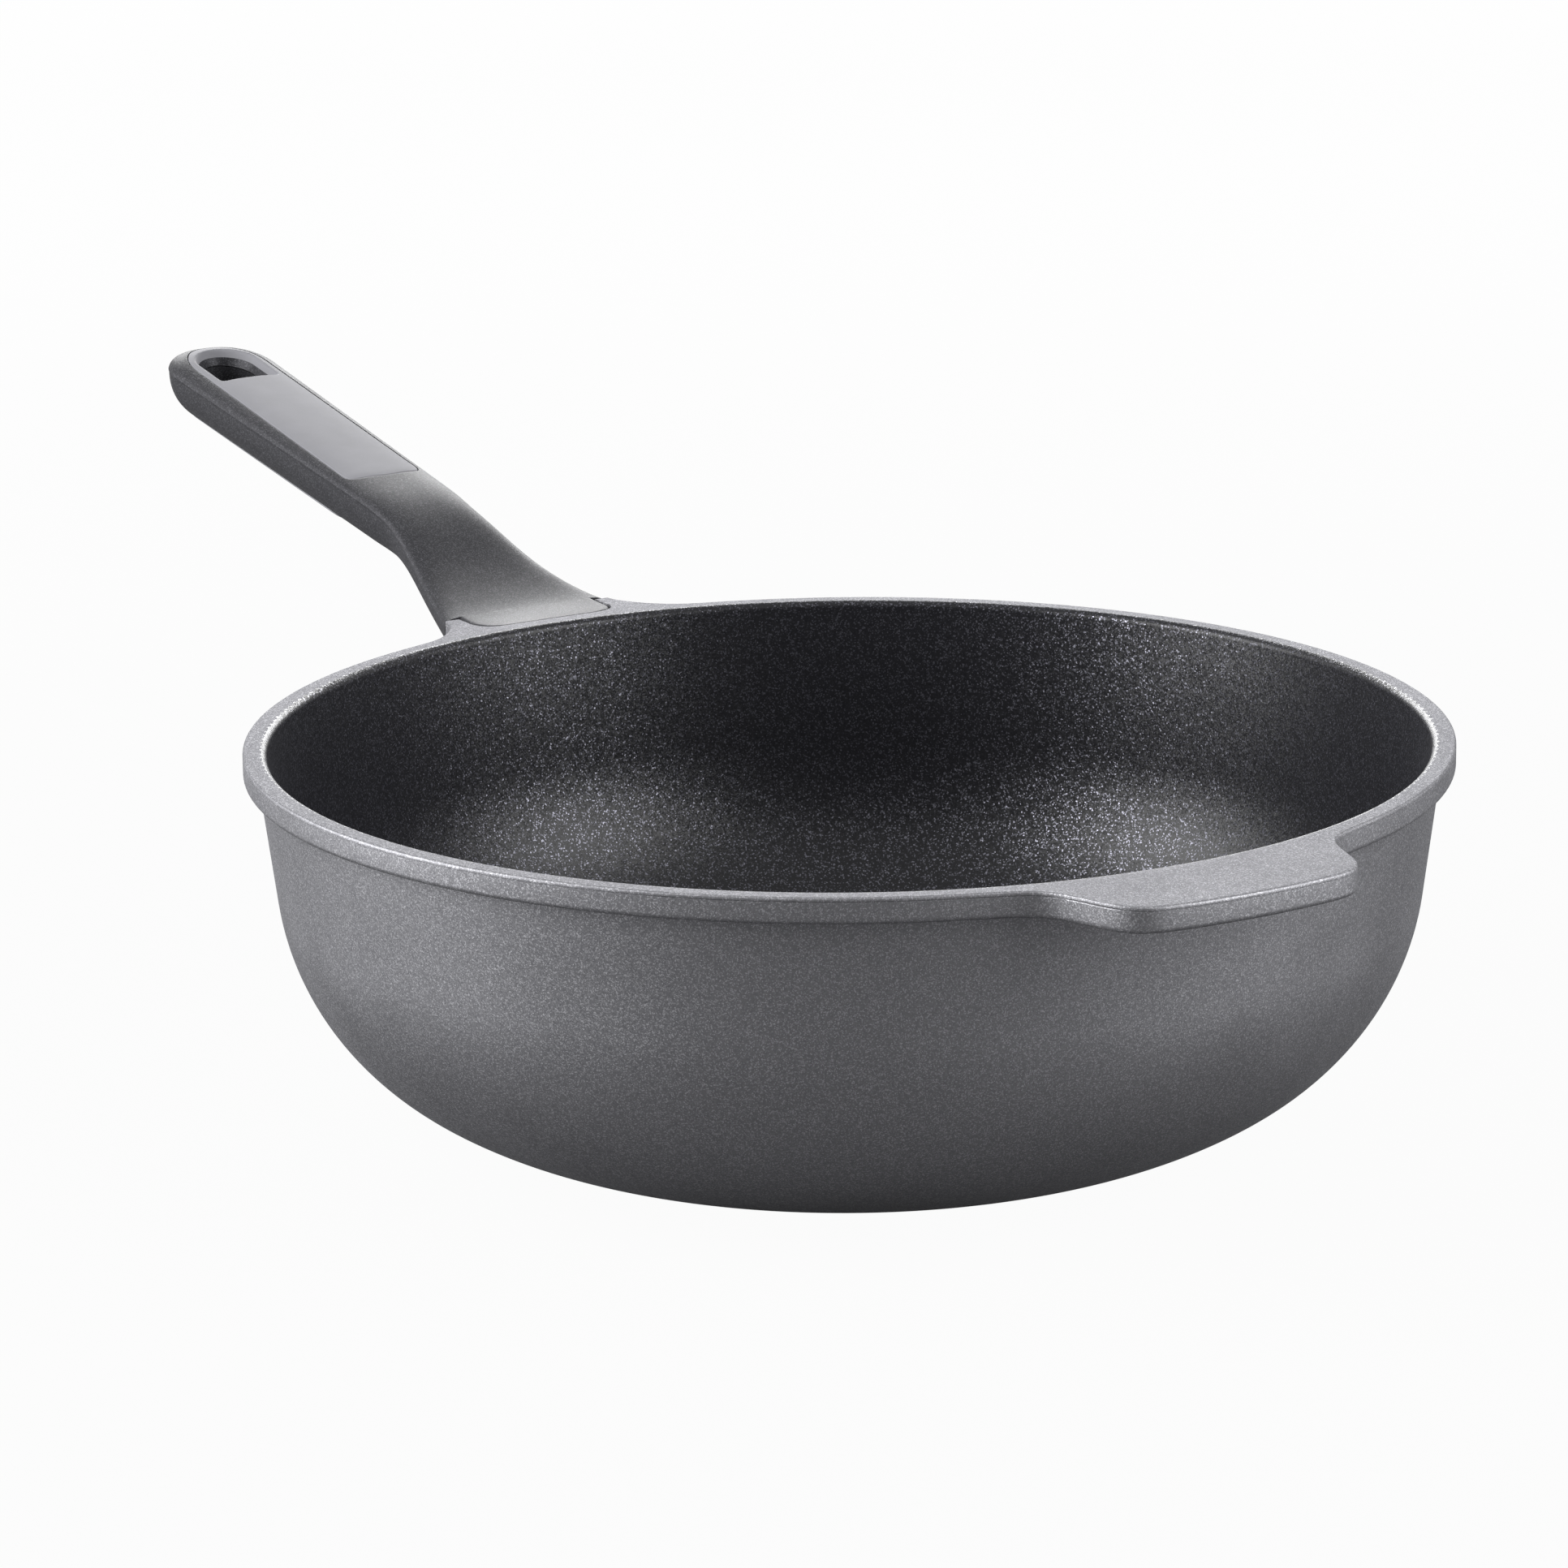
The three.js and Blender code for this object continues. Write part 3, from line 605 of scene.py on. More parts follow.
def mould_line(points):
    """Raises the fine line left where the mould's halves met: points near the ridge move outwards by
    a bell of their height over it."""
    x, w, z = np.moveaxis(points, -1, 0)
    grown = MOULD_LINE_HEIGHT * smooth((x - SHOULDER) / MOULD_LINE_START)
    bell = grown * np.exp(-((z - ridge(x)) / MOULD_LINE_WIDTH) ** 2)
    along = np.clip((x - TIP_START) / TIP_LENGTH, 0, 1) ** (TIP_POWER - 1)
    across = np.abs(w) / SHOULDER_HALF_WIDTH * (1 - along)
    size = np.hypot(along, across) + TINY
    return points + np.stack([bell * along / size, np.sign(w) * bell * across / size, 0 * z], -1)


def across_handle():
    """Places across the handle from -1 to 1, crowded at both ridges: the gap left shrinks as a power."""
    side = ease(0, 1, HANDLE_SIDE_POINTS, HANDLE_SIDE_CROWDING)
    return np.concatenate([-side[::-1], side[1:]])


def counterbore(points):
    """Sinks the screw's round seat into the underside: points near its edge are gathered on the
    circle, and those inside it move along the screw's axis to the flat seat."""
    height = (points - SCREW_CENTRE) @ SCREW_AXIS
    foot = SCREW_CENTRE + height[..., None] * SCREW_AXIS
    distance = np.linalg.norm(points - foot, axis=-1)
    bore = WASHER_RADIUS + SEAT_GAP
    past = distance - bore
    pull = SEAT_GATHER * (1 - np.abs(past) / SEAT_GATHER_REACH)
    gathered = np.maximum(np.abs(past) - pull, SEAT_GATHER_GAP) * np.sign(past)
    near = np.where(np.abs(past) < SEAT_GATHER_REACH, bore + gathered, distance)
    moved = foot + (points - foot) * (near / np.maximum(distance, TINY))[..., None]
    sink = np.where((near < bore) & (height < 0), SCREW_SEAT - height, 0)
    return moved + sink[..., None] * SCREW_AXIS


def tongue(across):
    """Tongue as sections along the handle: a flat plate with round front corners in plan and edges
    that round off as a high power across."""
    turn = np.linspace(0, np.pi / 2, TONGUE_CORNER_POINTS)
    straight = np.linspace(TONGUE_FRONT + TONGUE_CORNER, SHOULDER, TONGUE_SIDE_POINTS)[1:]
    corner_half = TONGUE_HALF_WIDTH - TONGUE_CORNER * (1 - np.sin(turn))
    x = np.append(TONGUE_FRONT + TONGUE_CORNER * (1 - np.cos(turn)), straight)[:, None]
    half = np.append(corner_half, 0 * straight + TONGUE_HALF_WIDTH)[:, None]
    rounded = np.sqrt(1 - np.abs(across) ** TONGUE_EDGE_POWER)
    crest = TONGUE_CREST_SHARE * TONGUE_THICKNESS + shoulder_ease(x)
    keel = (1 - TONGUE_CREST_SHARE) * TONGUE_THICKNESS
    upper = np.broadcast_arrays(x, half * across, TONGUE_MIDDLE + crest * rounded)
    lower = np.broadcast_arrays(x, half * across, TONGUE_MIDDLE - keel * rounded)
    return np.concatenate([np.stack(upper, -1), np.stack(lower, -1)[:, -2::-1]], axis=1)


def neck():
    """Tongue and neck as sections along the handle, closer at the screw: each ring is the top, then the
    underside back."""
    across = across_handle()
    seat_back = SCREW_CENTRE[0] - SCREW_STRETCH_BACK
    seat_front = SCREW_CENTRE[0] + SCREW_STRETCH_AHEAD
    x = np.concatenate([
        np.linspace(SHOULDER, seat_back, NECK_START_POINTS),
        np.linspace(seat_back, seat_front, NECK_SCREW_POINTS)[1:],
        np.linspace(seat_front, NECK_SEAM, NECK_END_POINTS)[1:],
    ])[:, None]
    w = half_width(x) * across
    upper = np.stack(np.broadcast_arrays(x, w, handle_top(x, w)), -1)
    lower = np.stack(np.broadcast_arrays(x, w, handle_bottom(x, w)), -1)
    rings = np.concatenate([mould_line(upper), counterbore(mould_line(lower))[:, -2::-1]], axis=1)
    cap = np.broadcast_to([TONGUE_FRONT, 0, TONGUE_MIDDLE], (1, rings.shape[1], 3))
    return np.concatenate([cap, tongue(across), rings])


def polar(points, angle):
    """Radius of a closed convex outline round the hole's centre at the given angles, and the distance
    from the centre to the outline's tangent there."""
    x, w = points[:, 0] - HOLE_CENTRE, points[:, 1]
    order = np.argsort(np.arctan2(w, x))
    own = np.arctan2(w, x)[order]
    radius = np.hypot(x, w)[order]
    at = np.interp(angle, own, radius, period=2 * np.pi)
    small = 1e-3
    slope = (np.interp(angle + small, own, radius, period=2 * np.pi)
             - np.interp(angle - small, own, radius, period=2 * np.pi)) / (2 * small)
    return at, at ** 2 / np.hypot(at, slope)


def bezier(points, count):
    """Points at even steps on a Bezier curve, or on a line if two points are given, found by mixing
    neighbours until one is left, without the curve's last point."""
    share = np.linspace(0, 1, count, endpoint=False)[:, None]
    points = [np.asarray(point, float) + 0 * share for point in points]
    while len(points) > 1:
        points = [a + share * (b - a) for a, b in zip(points, points[1:])]
    return points[0]


def insert_outline(front, end, half, bulge, end_length):
    """Plan of an insert: straight sides, a bowed front with round corners, an elliptical end."""
    c = INSERT_CORNER
    turn = np.linspace(-np.pi / 2, np.pi / 2, PLAN_END_POINTS)
    end_arc = np.stack([end - end_length + end_length * np.cos(turn), half * np.sin(turn)], -1)
    return np.concatenate([
        bezier([(front + c, -half), (end - end_length, -half)], PLAN_SIDE_POINTS),
        end_arc[:-1],
        bezier([(end - end_length, half), (front + c, half)], PLAN_SIDE_POINTS),
        bezier([(front + c, half), (front, half), (front, half - c)], PLAN_CORNER_POINTS),
        bezier([(front, half - c), (front - bulge, 0), (front, c - half)], PLAN_CURVE_POINTS),
        bezier([(front, c - half), (front, -half), (front + c, -half)], PLAN_CORNER_POINTS),
    ])


def hole_outline(grow):
    """Plan of the hanging hole, grown all round: a straight near edge with small corners, straight
    sides and a far end that rounds off."""
    far = HOLE_CENTRE + HOLE_LENGTH / 2 + grow
    near = HOLE_CENTRE - HOLE_LENGTH / 2 - grow
    half, c, f = HOLE_HALF_WIDTH + grow, HOLE_NEAR_CORNER, HOLE_FAR_ROUNDING
    return np.concatenate([
        bezier([(near + c, -half), (far - f, -half)], HOLE_SIDE_POINTS),
        bezier([(far - f, -half), (far - f / 2, -half), (far, -half / 2), (far, 0)], PLAN_CURVE_POINTS),
        bezier([(far, 0), (far, half / 2), (far - f / 2, half), (far - f, half)], PLAN_CURVE_POINTS),
        bezier([(far - f, half), (near + c, half)], HOLE_SIDE_POINTS),
        bezier([(near + c, half), (near, half), (near, half - c)], PLAN_CORNER_POINTS),
        bezier([(near, half - c), (near, c - half)], HOLE_SIDE_POINTS),
        bezier([(near, c - half), (near, -half), (near + c, -half)], PLAN_CORNER_POINTS),
    ])


TOP_PLAN = insert_outline(
    TOP_INSERT_FRONT, HANDLE_END - TOP_INSERT_TIP_INSET, TOP_INSERT_HALF_WIDTH,
    TOP_INSERT_BULGE, TOP_INSERT_END_LENGTH)
BOTTOM_PLAN = insert_outline(
    BOTTOM_INSERT_FRONT, HANDLE_END - BOTTOM_INSERT_TIP_INSET, BOTTOM_INSERT_HALF_WIDTH,
    0, BOTTOM_INSERT_END_LENGTH)


def place(radius, angle, height, ahead=0):
    """Points at a radius and angle round the hole's centre in plan, or ahead of it along the handle,
    at the height that a function of the plan gives."""
    x, w = HOLE_CENTRE + ahead + radius * np.cos(angle), radius * np.sin(angle)
    return np.stack([x, w, height(x, w)], -1)


def between(first, last, share, height):
    """Points a share of the way from one row to another in plan, at the height a function gives."""
    x, w = np.moveaxis(first + share * (last - first), -1, 0)[:2]
    return np.stack([x, w, height(x, w)], -1)


def grip_edge():
    """Outer edge of the grip in plan: across the neck's seam, along one side, round the tip and back."""
    across = across_handle()
    side = np.linspace(NECK_SEAM, TIP_START, GRIP_SIDE_POINTS)[1:]
    turn = np.linspace(0, np.pi / 2, GRIP_TIP_POINTS)[1:]
    tip = TIP_START + TIP_LENGTH * np.sin(turn) ** (2 / TIP_POWER)
    x = np.concatenate([side, tip])
    w = half_width(x)
    w[-1] = 0
    x = np.concatenate([np.full(len(across), NECK_SEAM), x, x[::-1][1:], [NECK_SEAM]])
    w = np.concatenate([half_width(NECK_SEAM) * across, w, -w[::-1][1:], [-half_width(NECK_SEAM)]])
    return np.hypot(x - HOLE_CENTRE, w), np.arctan2(w, x - HOLE_CENTRE)


def pocketed(plan, surface, floor, steps, power):
    """One face of the grip round the hole: the flat floor of the insert's pocket, its wall, a rounded
    lip, and the handle's own surface from there out to the edge."""
    edge, angle = grip_edge()
    seam, stand = polar(plan, angle)
    hole = polar(hole_outline(0), angle)[0]
    on_floor = lambda x, w: ridge(x) + floor
    bank = place(hole, angle, on_floor, -floor * GRIP_LEAN)
    foot = place(seam, angle, on_floor)
    shares = np.linspace(0, 1, INSERT_POCKET_POINTS)
    rows = [between(bank, foot, share, on_floor) for share in shares]
    inward = np.sign(floor - surface(HOLE_CENTRE, 0) + ridge(HOLE_CENTRE))
    for turn in np.linspace(0, np.pi / 2, LIP_POINTS):
        lip = LIP_ROUNDING * (1 - np.sin(turn)) * inward
        out = seam * (1 + LIP_ROUNDING * (1 - np.cos(turn)) / stand)
        rows.append(place(out, angle, lambda x, w: surface(x, w) + lip))
    start = rows[-1]
    end = place(edge, angle, surface)
    rows += [between(start, end, share, surface) for share in ease(0, 1, steps, power)[1:]]
    rows[-1][:, 2] = np.where(end[:, 0] > NECK_SEAM + WELD, ridge(end[:, 0]), end[:, 2])
    return np.array(rows)


def grip():
    """Grip with its two pockets and the hanging hole: the top face, the underside, and the wall of
    the hole between the pockets' floors."""
    top = mould_line(pocketed(
        TOP_PLAN, handle_top, -(TOP_INSERT_FLOOR + SEAT_GAP), GRIP_TOP_POINTS, GRIP_TOP_CROWDING))
    bottom = mould_line(pocketed(
        BOTTOM_PLAN, handle_bottom, SEAT_GAP - BOTTOM_INSERT_FLOOR,
        GRIP_UNDERSIDE_POINTS, GRIP_UNDERSIDE_CROWDING))
    share = np.linspace(0, 1, HOLE_WALL_POINTS)[:, None, None]
    return [top, bottom, top[0] + share * (bottom[0] - top[0])]


def insert_edge(plan, surface, floor):
    """Outer part of an insert round the hole: the underside's corner, the edge, and its rounding."""
    across = np.append(plan, plan[:1], axis=0) - [HOLE_CENTRE, 0]
    angle = np.arctan2(across[:, 1], across[:, 0])
    edge, stand = polar(plan, angle)
    edge = edge * (1 - INSERT_GAP / stand)
    inward = np.sign(floor - surface(HOLE_CENTRE, 0) + ridge(HOLE_CENTRE))
    rows = [place(edge, angle, lambda x, w: ridge(x) + floor)]
    for turn in np.linspace(0, np.pi / 2, PAD_EDGE_POINTS):
        drop = INSERT_ROUNDING * (1 - np.sin(turn)) * inward
        inside = edge * (1 - INSERT_ROUNDING * (1 - np.cos(turn)) / stand)
        rows.append(place(inside, angle, lambda x, w: surface(x, w) + drop))
    return rows, angle


def pierced_insert(plan, surface, floor, funnel, rise):
    """Insert as a plate with a hole: each column runs from the floor up the edge, over the rounded
    seam, across the surface and over the hole's brim, then on two more sheets down the upper and the
    lower part of the hole's wall and back along the floor."""
    rows, angle = insert_edge(plan, surface, floor)
    mouth = polar(hole_outline(funnel), angle)[0]
    throat = polar(hole_outline(0), angle)[0]
    brink = place(mouth + HOLE_EDGE_ROUNDING, angle, surface, -rise * GRIP_LEAN)
    corner = place(mouth, angle, surface, -rise * GRIP_LEAN)
    deep = place(throat, angle, lambda x, w: ridge(x) + floor, -floor * GRIP_LEAN)
    start = rows[-1]
    shares = ease(0, 1, PAD_FACE_POINTS, PAD_FACE_CROWDING)[1:]
    rows += [between(start, brink, share, surface) for share in shares]
    drop = np.linalg.norm(deep - corner, axis=-1, keepdims=True)
    below = corner + (deep - corner) * HOLE_EDGE_ROUNDING / drop
    for share in np.linspace(0, 1, HOLE_BRIM_POINTS)[1:]:
        first = brink + share * (corner - brink)
        rows.append(first + share * (corner + share * (below - corner) - first))
    wall = lambda first, last: [
        below + share * (deep - below) for share in np.linspace(first, last, HOLE_WALL_POINTS)]
    lower_wall = wall(HOLE_SOFT_SHARE, 1)
    return [np.array(rows), np.array(wall(0, HOLE_SOFT_SHARE)), np.array([*lower_wall, rows[0]])]


def top_insert():
    """Top insert, whose hole widens upwards as a funnel."""
    return pierced_insert(TOP_PLAN, handle_top, -TOP_INSERT_FLOOR, HOLE_FUNNEL, crown(HOLE_CENTRE))


def bottom_insert():
    """Bottom insert, which stands a little proud of the grip and whose hole has straight walls."""
    surface = lambda x, w: handle_bottom(x, w) - BOTTOM_INSERT_PROUD
    return pierced_insert(BOTTOM_PLAN, surface, -BOTTOM_INSERT_FLOOR, 0, -GRIP_DEPTH)


def on_screw(radius, height, angle):
    """Points round the screw's axis, which leans with the tang, at heights from the tang's middle."""
    x, y, z = np.moveaxis(turned(radius, height, angle), -1, 0)[..., None]
    ahead = np.array([SCREW_AXIS[2], 0, -SCREW_AXIS[0]])
    return SCREW_CENTRE + x * ahead + y * np.array([0, 1, 0]) + z * SCREW_AXIS


def screw():
    """Pan-head screw: a turned profile whose domed face is sunk by a cross, two crossed slots whose
    sides and ends fall off as smooth steps, and a plain shank."""
    angle = np.linspace(-np.pi, np.pi, SCREW_TURN_POINTS)[None, :]
    flat = np.ones_like(angle)
    face = np.linspace(0, SCREW_HEAD_RADIUS, SCREW_FACE_POINTS)[:, None]
    dome = SCREW_HEAD_TOP - SCREW_HEAD_HEIGHT + SCREW_CROWN * (face / SCREW_HEAD_RADIUS) ** 3
    x, y = face * np.cos(angle), face * np.sin(angle)
    slot = lambda along, side: (
        smooth((DRIVE_HALF_WIDTH - np.abs(side)) / DRIVE_SIDE_RUN)
        * smooth((DRIVE_ARM - np.abs(along)) / DRIVE_END_RUN))
    face_height = dome + DRIVE_DEPTH * np.maximum(slot(x, y), slot(y, x))
    shank_top = SCREW_ENGAGEMENT - TANG_THICKNESS / 2
    rows = np.array([
        (SCREW_HEAD_RADIUS, SCREW_HEAD_TOP - SCREW_HEAD_CHAMFER),
        (SCREW_HEAD_RADIUS - SCREW_HEAD_CHAMFER, SCREW_HEAD_TOP),
        (SCREW_SHANK_RADIUS, SCREW_HEAD_TOP),
        (SCREW_SHANK_RADIUS, shank_top - SCREW_POINT_CHAMFER),
        (SCREW_SHANK_RADIUS - SCREW_POINT_CHAMFER, shank_top),
        (0, shank_top),
    ])
    radius = np.concatenate([face * flat, rows[:, :1] * flat])
    height = np.concatenate([face_height, rows[:, 1:] * flat])
    return on_screw(radius, height, angle)


def washer():
    """Plain washer: a flat ring with slightly cut edges turned round the screw's axis."""
    top, bottom = WASHER_TOP, WASHER_TOP - WASHER_THICKNESS
    bore, rim, cut = SCREW_SHANK_RADIUS + SEAT_GAP, WASHER_RADIUS, WASHER_CHAMFER
    rows = np.array([
        (bore, bottom + cut), (bore + cut, bottom), (rim - cut, bottom), (rim, bottom + cut),
        (rim, top - cut), (rim - cut, top), (bore + cut, top), (bore, top - cut), (bore, bottom + cut),
    ])
    angle = np.linspace(-np.pi, np.pi, WASHER_TURN_POINTS)[None, :]
    return on_screw(rows[:, :1] + 0 * angle, rows[:, 1:] + 0 * angle, angle)


def linear(code):
    """Colour of a hex code as it is written for screens, in linear light by the sRGB curve, with full
    cover."""
    value = np.array([int(code[i:i + 2], 16) for i in (1, 3, 5)]) / 255
    light = np.where(value <= 0.04045, value / 12.92, ((value + 0.055) / 1.055) ** 2.4)
    return (*light, 1.0)


def add(tree, kind, values=None, **settings):
    """Adds one node: settings are its own options, values go to its inputs, as numbers or as links."""
    node = tree.nodes.new(kind)
    for name, value in settings.items():
        setattr(node, name, value)
    for name, value in (values or {}).items():
        if isinstance(value, bpy.types.NodeSocket):
            tree.links.new(value, node.inputs[name])
        else:
            node.inputs[name].default_value = value
    return node


def blank(name):
    """A new material with its tree emptied, that tree, and the object's own coordinates in millimetres."""
    material = bpy.data.materials.new(name)
    material.use_nodes = True
    tree = material.node_tree
    tree.nodes.clear()
    metres = add(tree, "ShaderNodeTexCoord").outputs["Object"]
    scaled = add(tree, "ShaderNodeVectorMath", {0: metres, "Scale": 1 / MM}, operation="SCALE")
    return material, tree, scaled.outputs[0]


def flecks(tree, where, size, share):
    """Scattered flecks: cells of the given size, of which a share are chosen. Gives the mask, which
    fades by each fleck's own luck, and a random lean for each cell."""
    cell = add(tree, "ShaderNodeTexVoronoi", {"Vector": where, "Scale": 1 / size}).outputs["Color"]
    lot = add(tree, "ShaderNodeSeparateColor", {0: cell}).outputs
    mask = add(tree, "ShaderNodeMapRange", {
        "Value": lot[0], "From Min": 1 - share, "From Max": 1.0}).outputs[0]
    middle = (0.5, 0.5, 0.5)
    tilt = add(tree, "ShaderNodeVectorMath", {0: cell, 1: middle}, operation="SUBTRACT").outputs[0]
    return mask, tilt


def tilted(tree, tilt, amount):
    """Normal of the surface leaned by a share of the given vector."""
    flat = add(tree, "ShaderNodeNewGeometry").outputs["Normal"]
    lean = add(tree, "ShaderNodeVectorMath", {0: tilt, "Scale": amount}, operation="SCALE").outputs[0]
    both = add(tree, "ShaderNodeVectorMath", {0: flat, 1: lean}, operation="ADD").outputs[0]
    return add(tree, "ShaderNodeVectorMath", {0: both}, operation="NORMALIZE").outputs[0]


def mixed(tree, share, first, second):
    """Colour mixed from the first to the second by the share."""
    return add(tree, "ShaderNodeMix", {0: share, 6: first, 7: second}, data_type="RGBA").outputs[2]


def shaded(tree, values):
    """Principled surface joined to the material's output."""
    surface = add(tree, "ShaderNodeBsdfPrincipled", values)
    add(tree, "ShaderNodeOutputMaterial", {"Surface": surface.outputs[0]})


# Metallic paint sprayed on the casting and, darker, on the handle: a satin ground in which fine
# aluminium flakes, each lying at its own angle, catch the light as a dense silver grain, over a faint
# waviness of the coat. Real flakes are too fine to show, so they are drawn coarser.
def sprayed_metallic(name, ground, deep, flake, lean, metal, rough, gloss_level, sheen):
    """Sprayed flake paint: ground colour clouded by the grain, leaning flakes, fine bumps, and a gloss
    that is toned down at glancing angles."""
    material, tree, where = blank(name)
    cloud = add(tree, "ShaderNodeTexNoise", {
        "Vector": where, "Scale": 1 / PAINT_CLOUD, "Detail": 3.0}).outputs[0]
    grain = add(tree, "ShaderNodeTexNoise", {
        "Vector": where, "Scale": 1 / PAINT_GRAIN, "Detail": 2.0}).outputs[0]
    mask, tilt = flecks(tree, where, PAINT_FLAKE, PAINT_FLAKE_SHARE)
    spread = add(tree, "ShaderNodeMapRange", {"Value": grain, **NOISE_RANGE}).outputs[0]
    base = mixed(tree, mask, mixed(tree, spread, linear(deep), linear(ground)), linear(flake))
    gloss = add(tree, "ShaderNodeMapRange", {
        "Value": cloud, **NOISE_RANGE,
        "To Min": rough - PAINT_GLOSS_SPREAD, "To Max": rough + PAINT_GLOSS_SPREAD,
    }).outputs[0]
    bump = add(tree, "ShaderNodeBump", {
        "Height": grain, "Strength": 0.1, "Distance": PAINT_GRAIN_HEIGHT * MM,
        "Normal": tilted(tree, tilt, lean),
    }).outputs[0]
    shaded(tree, {
        "Base Color": base, "Metallic": metal, "Roughness": gloss, "Normal": bump,
        "Specular IOR Level": gloss_level, "Specular Tint": linear(sheen),
    })
    return material


# Non-stick coating sprayed inside: near-black with a dense sprinkle of fine mineral flakes that sparkle
# where the satin coat shows the lights as soft hazes. Real flakes are too fine to show, so they are drawn
# coarser.
def granite_coating():
    """Black coat with fine metallic flakes at random angles and a low pebbled bump."""
    material, tree, where = blank("sprayed_granite_nonstick")
    mask, tilt = flecks(tree, where, COATING_FLAKE, COATING_FLAKE_SHARE)
    pebble = add(tree, "ShaderNodeTexNoise", {
        "Vector": where, "Scale": 1 / COATING_PEBBLE, "Detail": 3.0}).outputs[0]
    ground = mixed(tree, pebble, linear("#17171a"), linear("#1f1f22"))
    base = mixed(tree, mask, ground, linear("#62626a"))
    gloss = add(tree, "ShaderNodeMapRange", {"Value": pebble, "To Min": 0.31, "To Max": 0.37}).outputs[0]
    bump = add(tree, "ShaderNodeBump", {
        "Height": pebble, "Strength": 0.15, "Distance": COATING_PEBBLE_HEIGHT * MM,
        "Normal": tilted(tree, tilt, COATING_FLAKE_LEAN),
    }).outputs[0]
    shaded(tree, {
        "Base Color": base, "Metallic": mask, "Roughness": gloss, "Normal": bump,
        "Specular IOR Level": 0.2,
    })
    return material


# Soft-touch moulding: an even matt grey with a fine leathery tooth that spreads the highlight wide.
def soft_touch():
    """Matt grey with faint clouding and a fine moulded tooth."""
    material, tree, where = blank("moulded_soft_touch")
    cloud = add(tree, "ShaderNodeTexNoise", {
        "Vector": where, "Scale": 1 / PAD_CLOUD, "Detail": 4.0}).outputs[0]
    tooth = add(tree, "ShaderNodeTexNoise", {
        "Vector": where, "Scale": 1 / PAD_TOOTH, "Detail": 2.0}).outputs[0]
    base = mixed(tree, cloud, linear("#79797d"), linear("#838388"))
    gloss = add(tree, "ShaderNodeMapRange", {"Value": tooth, "To Min": 0.55, "To Max": 0.7}).outputs[0]
    bump = add(tree, "ShaderNodeBump", {
        "Height": tooth, "Strength": 0.12, "Distance": PAD_TOOTH_HEIGHT * MM}).outputs[0]
    shaded(tree, {"Base Color": base, "Roughness": gloss, "Normal": bump, "Specular IOR Level": 0.15})
    return material


# Stainless steel turned and brushed in rings, so that highlights fan out across the lines. The lines
# are drawn coarser than real brushing, which is too fine to show.
def brushed_steel(name, centre):
    """Bright metal whose gloss and bump vary in rings round a centre."""
    material, tree, where = blank(name)
    out = add(tree, "ShaderNodeVectorMath", {0: where, 1: centre}, operation="SUBTRACT").outputs[0]
    ring = add(tree, "ShaderNodeVectorMath", {0: out}, operation="LENGTH").outputs[1]
    lines = add(tree, "ShaderNodeTexNoise", {
        "W": ring, "Scale": 1 / BRUSH_LINE, "Detail": 3.0}, noise_dimensions="1D").outputs[0]
    stain = add(tree, "ShaderNodeTexNoise", {
        "Vector": where, "Scale": 1 / STEEL_STAIN, "Detail": 4.0}).outputs[0]
    base = mixed(tree, stain, linear("#b4b4b6"), linear("#c8c8ca"))
    gloss = add(tree, "ShaderNodeMapRange", {"Value": lines, "To Min": 0.25, "To Max": 0.42}).outputs[0]
    bump = add(tree, "ShaderNodeBump", {
        "Height": lines, "Strength": 0.15, "Distance": BRUSH_LINE_HEIGHT * MM}).outputs[0]
    shaded(tree, {"Base Color": base, "Metallic": 1.0, "Roughness": gloss, "Normal": bump})
    return material


paint = sprayed_metallic(
    "sprayed_graphite_flake_paint", ground="#808083", deep="#757579", flake="#a6a6aa",
    lean=0.12, metal=0.9, rough=0.56, gloss_level=0.5, sheen="#a2a2a2")
handle_paint = sprayed_metallic(
    "dark_flake_paint_on_phenolic", ground="#343437", deep="#2d2d30", flake="#505054",
    lean=0.05, metal=0.35, rough=0.48, gloss_level=0.3, sheen="#acacac")
coating = granite_coating()
soft = soft_touch()
disc_steel = brushed_steel("brushed_stainless_disc", (0, 0, 0))
screw_steel = brushed_steel("turned_stainless_screw", tuple(SCREW_CENTRE))

build("bowl_casting", [casting()], [paint], ["wok_body"])
build("bowl_lining", [lining()], [coating], ["wok_body"])
build("handle_moulding", [neck(), *grip()], [handle_paint], ["handle_core"])
build("top_grip_pad", top_insert(), [soft, soft, handle_paint], ["top_grip_insert"])
build("bottom_grip_pad", bottom_insert(), [soft, handle_paint], ["bottom_grip_insert"])
build("neck_screw", [screw()], [screw_steel], ["handle_screw"], crease=30)
build("neck_washer", [washer()], [screw_steel], ["screw_washer"], crease=30)
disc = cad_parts["induction_disc"]
disc.data.materials.clear()
disc.data.materials.append(disc_steel)

# Camera, in metres, with its lens in millimetres
EYE = Vector((-1.18334, 0.73943, 0.44979))
AIM = Vector((-0.032197, 0.037815, 0.094070))
ROLL = radians(-0.6803)
LENS = 138.716
SENSOR = 36.0
camera = bpy.data.objects.new("camera", bpy.data.cameras.new("camera"))
camera.data.lens = LENS
camera.data.sensor_width = SENSOR
camera.location = EYE
camera.rotation_mode = "QUATERNION"
camera.rotation_quaternion = (AIM - EYE).to_track_quat("-Z", "Y") @ Quaternion((0, 0, 1), ROLL)
bpy.context.scene.collection.objects.link(camera)
bpy.context.scene.camera = camera

